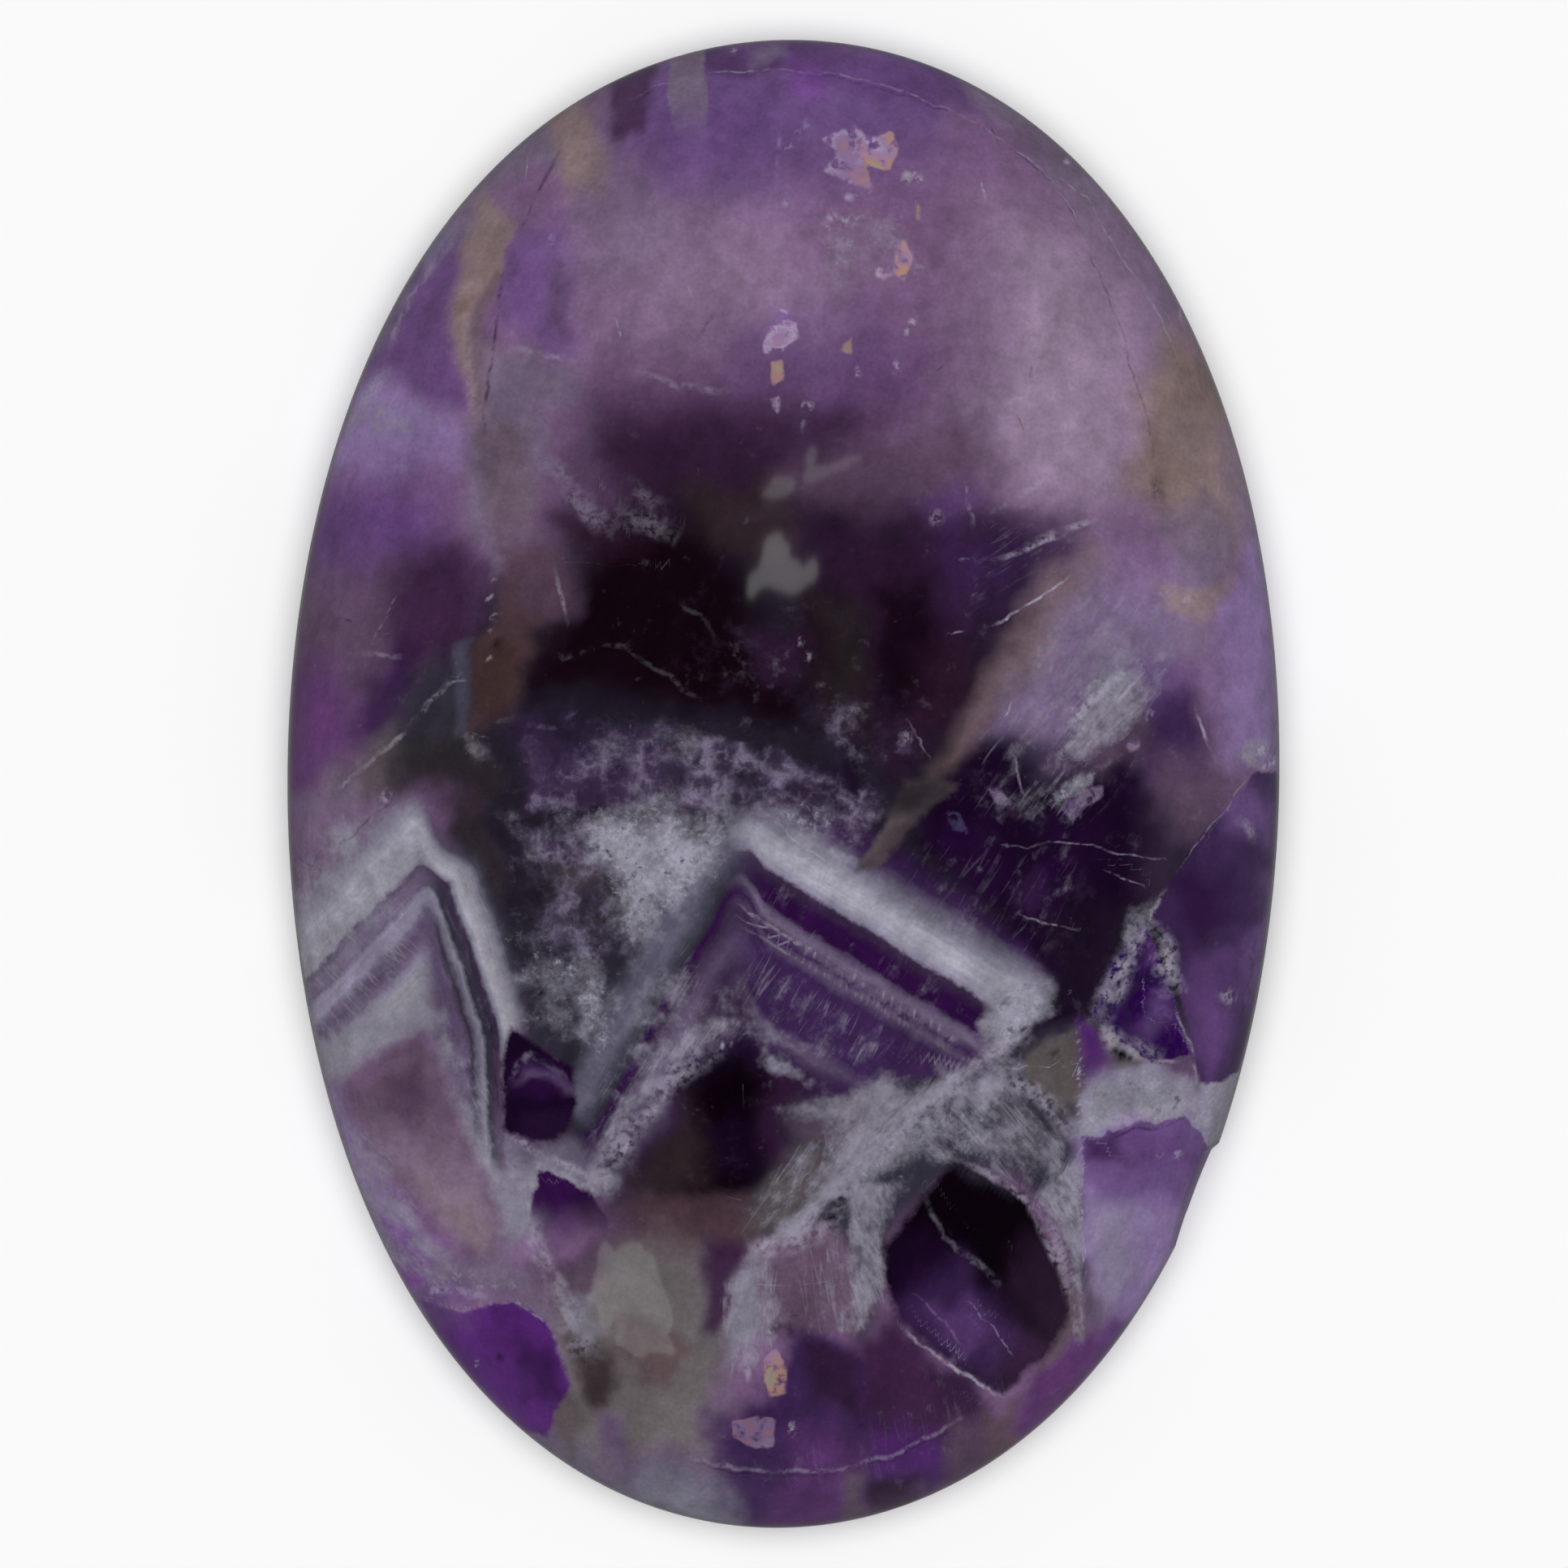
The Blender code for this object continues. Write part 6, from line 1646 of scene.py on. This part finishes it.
def mirroredSpot(x, y):
    # where the camera's ray to this spot of the polish goes on to, at the height of the cards
    def top(across, along):
        return float(domeHeight(math.hypot(across / halfSize[0], along / halfSize[1])))

    step = 0.02        # for the slope of the polish
    normal = np.array([(top(x - step, y) - top(x + step, y)) / (2 * step),
                       (top(x, y - step) - top(x, y + step)) / (2 * step), 1])
    normal /= np.linalg.norm(normal)
    spot = np.array([x, y, top(x, y)])
    ray = spot - np.array([camera["aimX"], camera["aimY"], camera["height"]])
    ray /= np.linalg.norm(ray)
    ray -= 2 * (ray @ normal) * normal
    return spot + ray * (studio["cardHeight"] - spot[2]) / ray[2]


def addCard(name, corners, radiance):
    shape = bpy.data.meshes.new(name)
    shape.from_pydata([mirroredSpot(x, y) * mm for x, y in corners], [], [range(len(corners))])
    card = bpy.data.objects.new(name, shape)
    bpy.context.collection.objects.link(card)
    glow = bpy.data.materials.new("glowing white card")
    glow.use_nodes = True
    shader = glow.node_tree.nodes["Principled BSDF"]
    shader.inputs["Base Color"].default_value = (0, 0, 0, 1)
    shader.inputs["Emission Color"].default_value = (1, 1, 1, 1)
    shader.inputs["Emission Strength"].default_value = radiance
    shape.materials.append(glow)
    card.visible_camera = card.visible_diffuse = card.visible_transmission = card.visible_shadow = False


def makeSky():
    # an even fill for matt light, and in the polish a room that is dark overhead and pale low down
    world = bpy.data.worlds.new("soft room")
    bpy.context.scene.world = world
    world.use_nodes = True
    tree = world.node_tree
    way = addNode(tree, "TexCoord").outputs["Generated"]
    height = addNode(tree, "SeparateXYZ", None, i0=way).outputs[2]
    ramp = addNode(tree, "ValToRGB", None, i0=height)
    fillRamp(ramp, [(sine, (level, level, level, 1)) for sine, level in studio["skyInGloss"]])
    glossy = addNode(tree, "LightPath").outputs["Is Glossy Ray"]
    fill = (studio["skyFill"],) * 3 + (1,)
    light = addNode(tree, "Mix", ofColour, i0=glossy, i6=fill, i7=ramp.outputs[0]).outputs[2]
    tree.links.new(light, tree.nodes["Background"].inputs["Color"])


def makeCamera():
    bpy.ops.object.camera_add(location=[camera[key] * mm for key in ("aimX", "aimY", "height")])
    eye = bpy.context.object
    eye.name = "photoCamera"
    eye.data.lens = camera["lens"]
    eye.data.sensor_width = camera["sensor"]
    eye.data.clip_start = 0.01
    eye.data.clip_end = 10
    bpy.context.scene.camera = eye


makeFloor()
addOverheadLight()
for i, (radiance, corners) in enumerate(shines):
    addCard("shineCard" + str(i + 1), corners, radiance)
makeSky()
makeCamera()
bpy.context.scene.view_settings.view_transform = "Standard"
print("stage: studio ready")


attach(stone, "root")
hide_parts("cabochon")
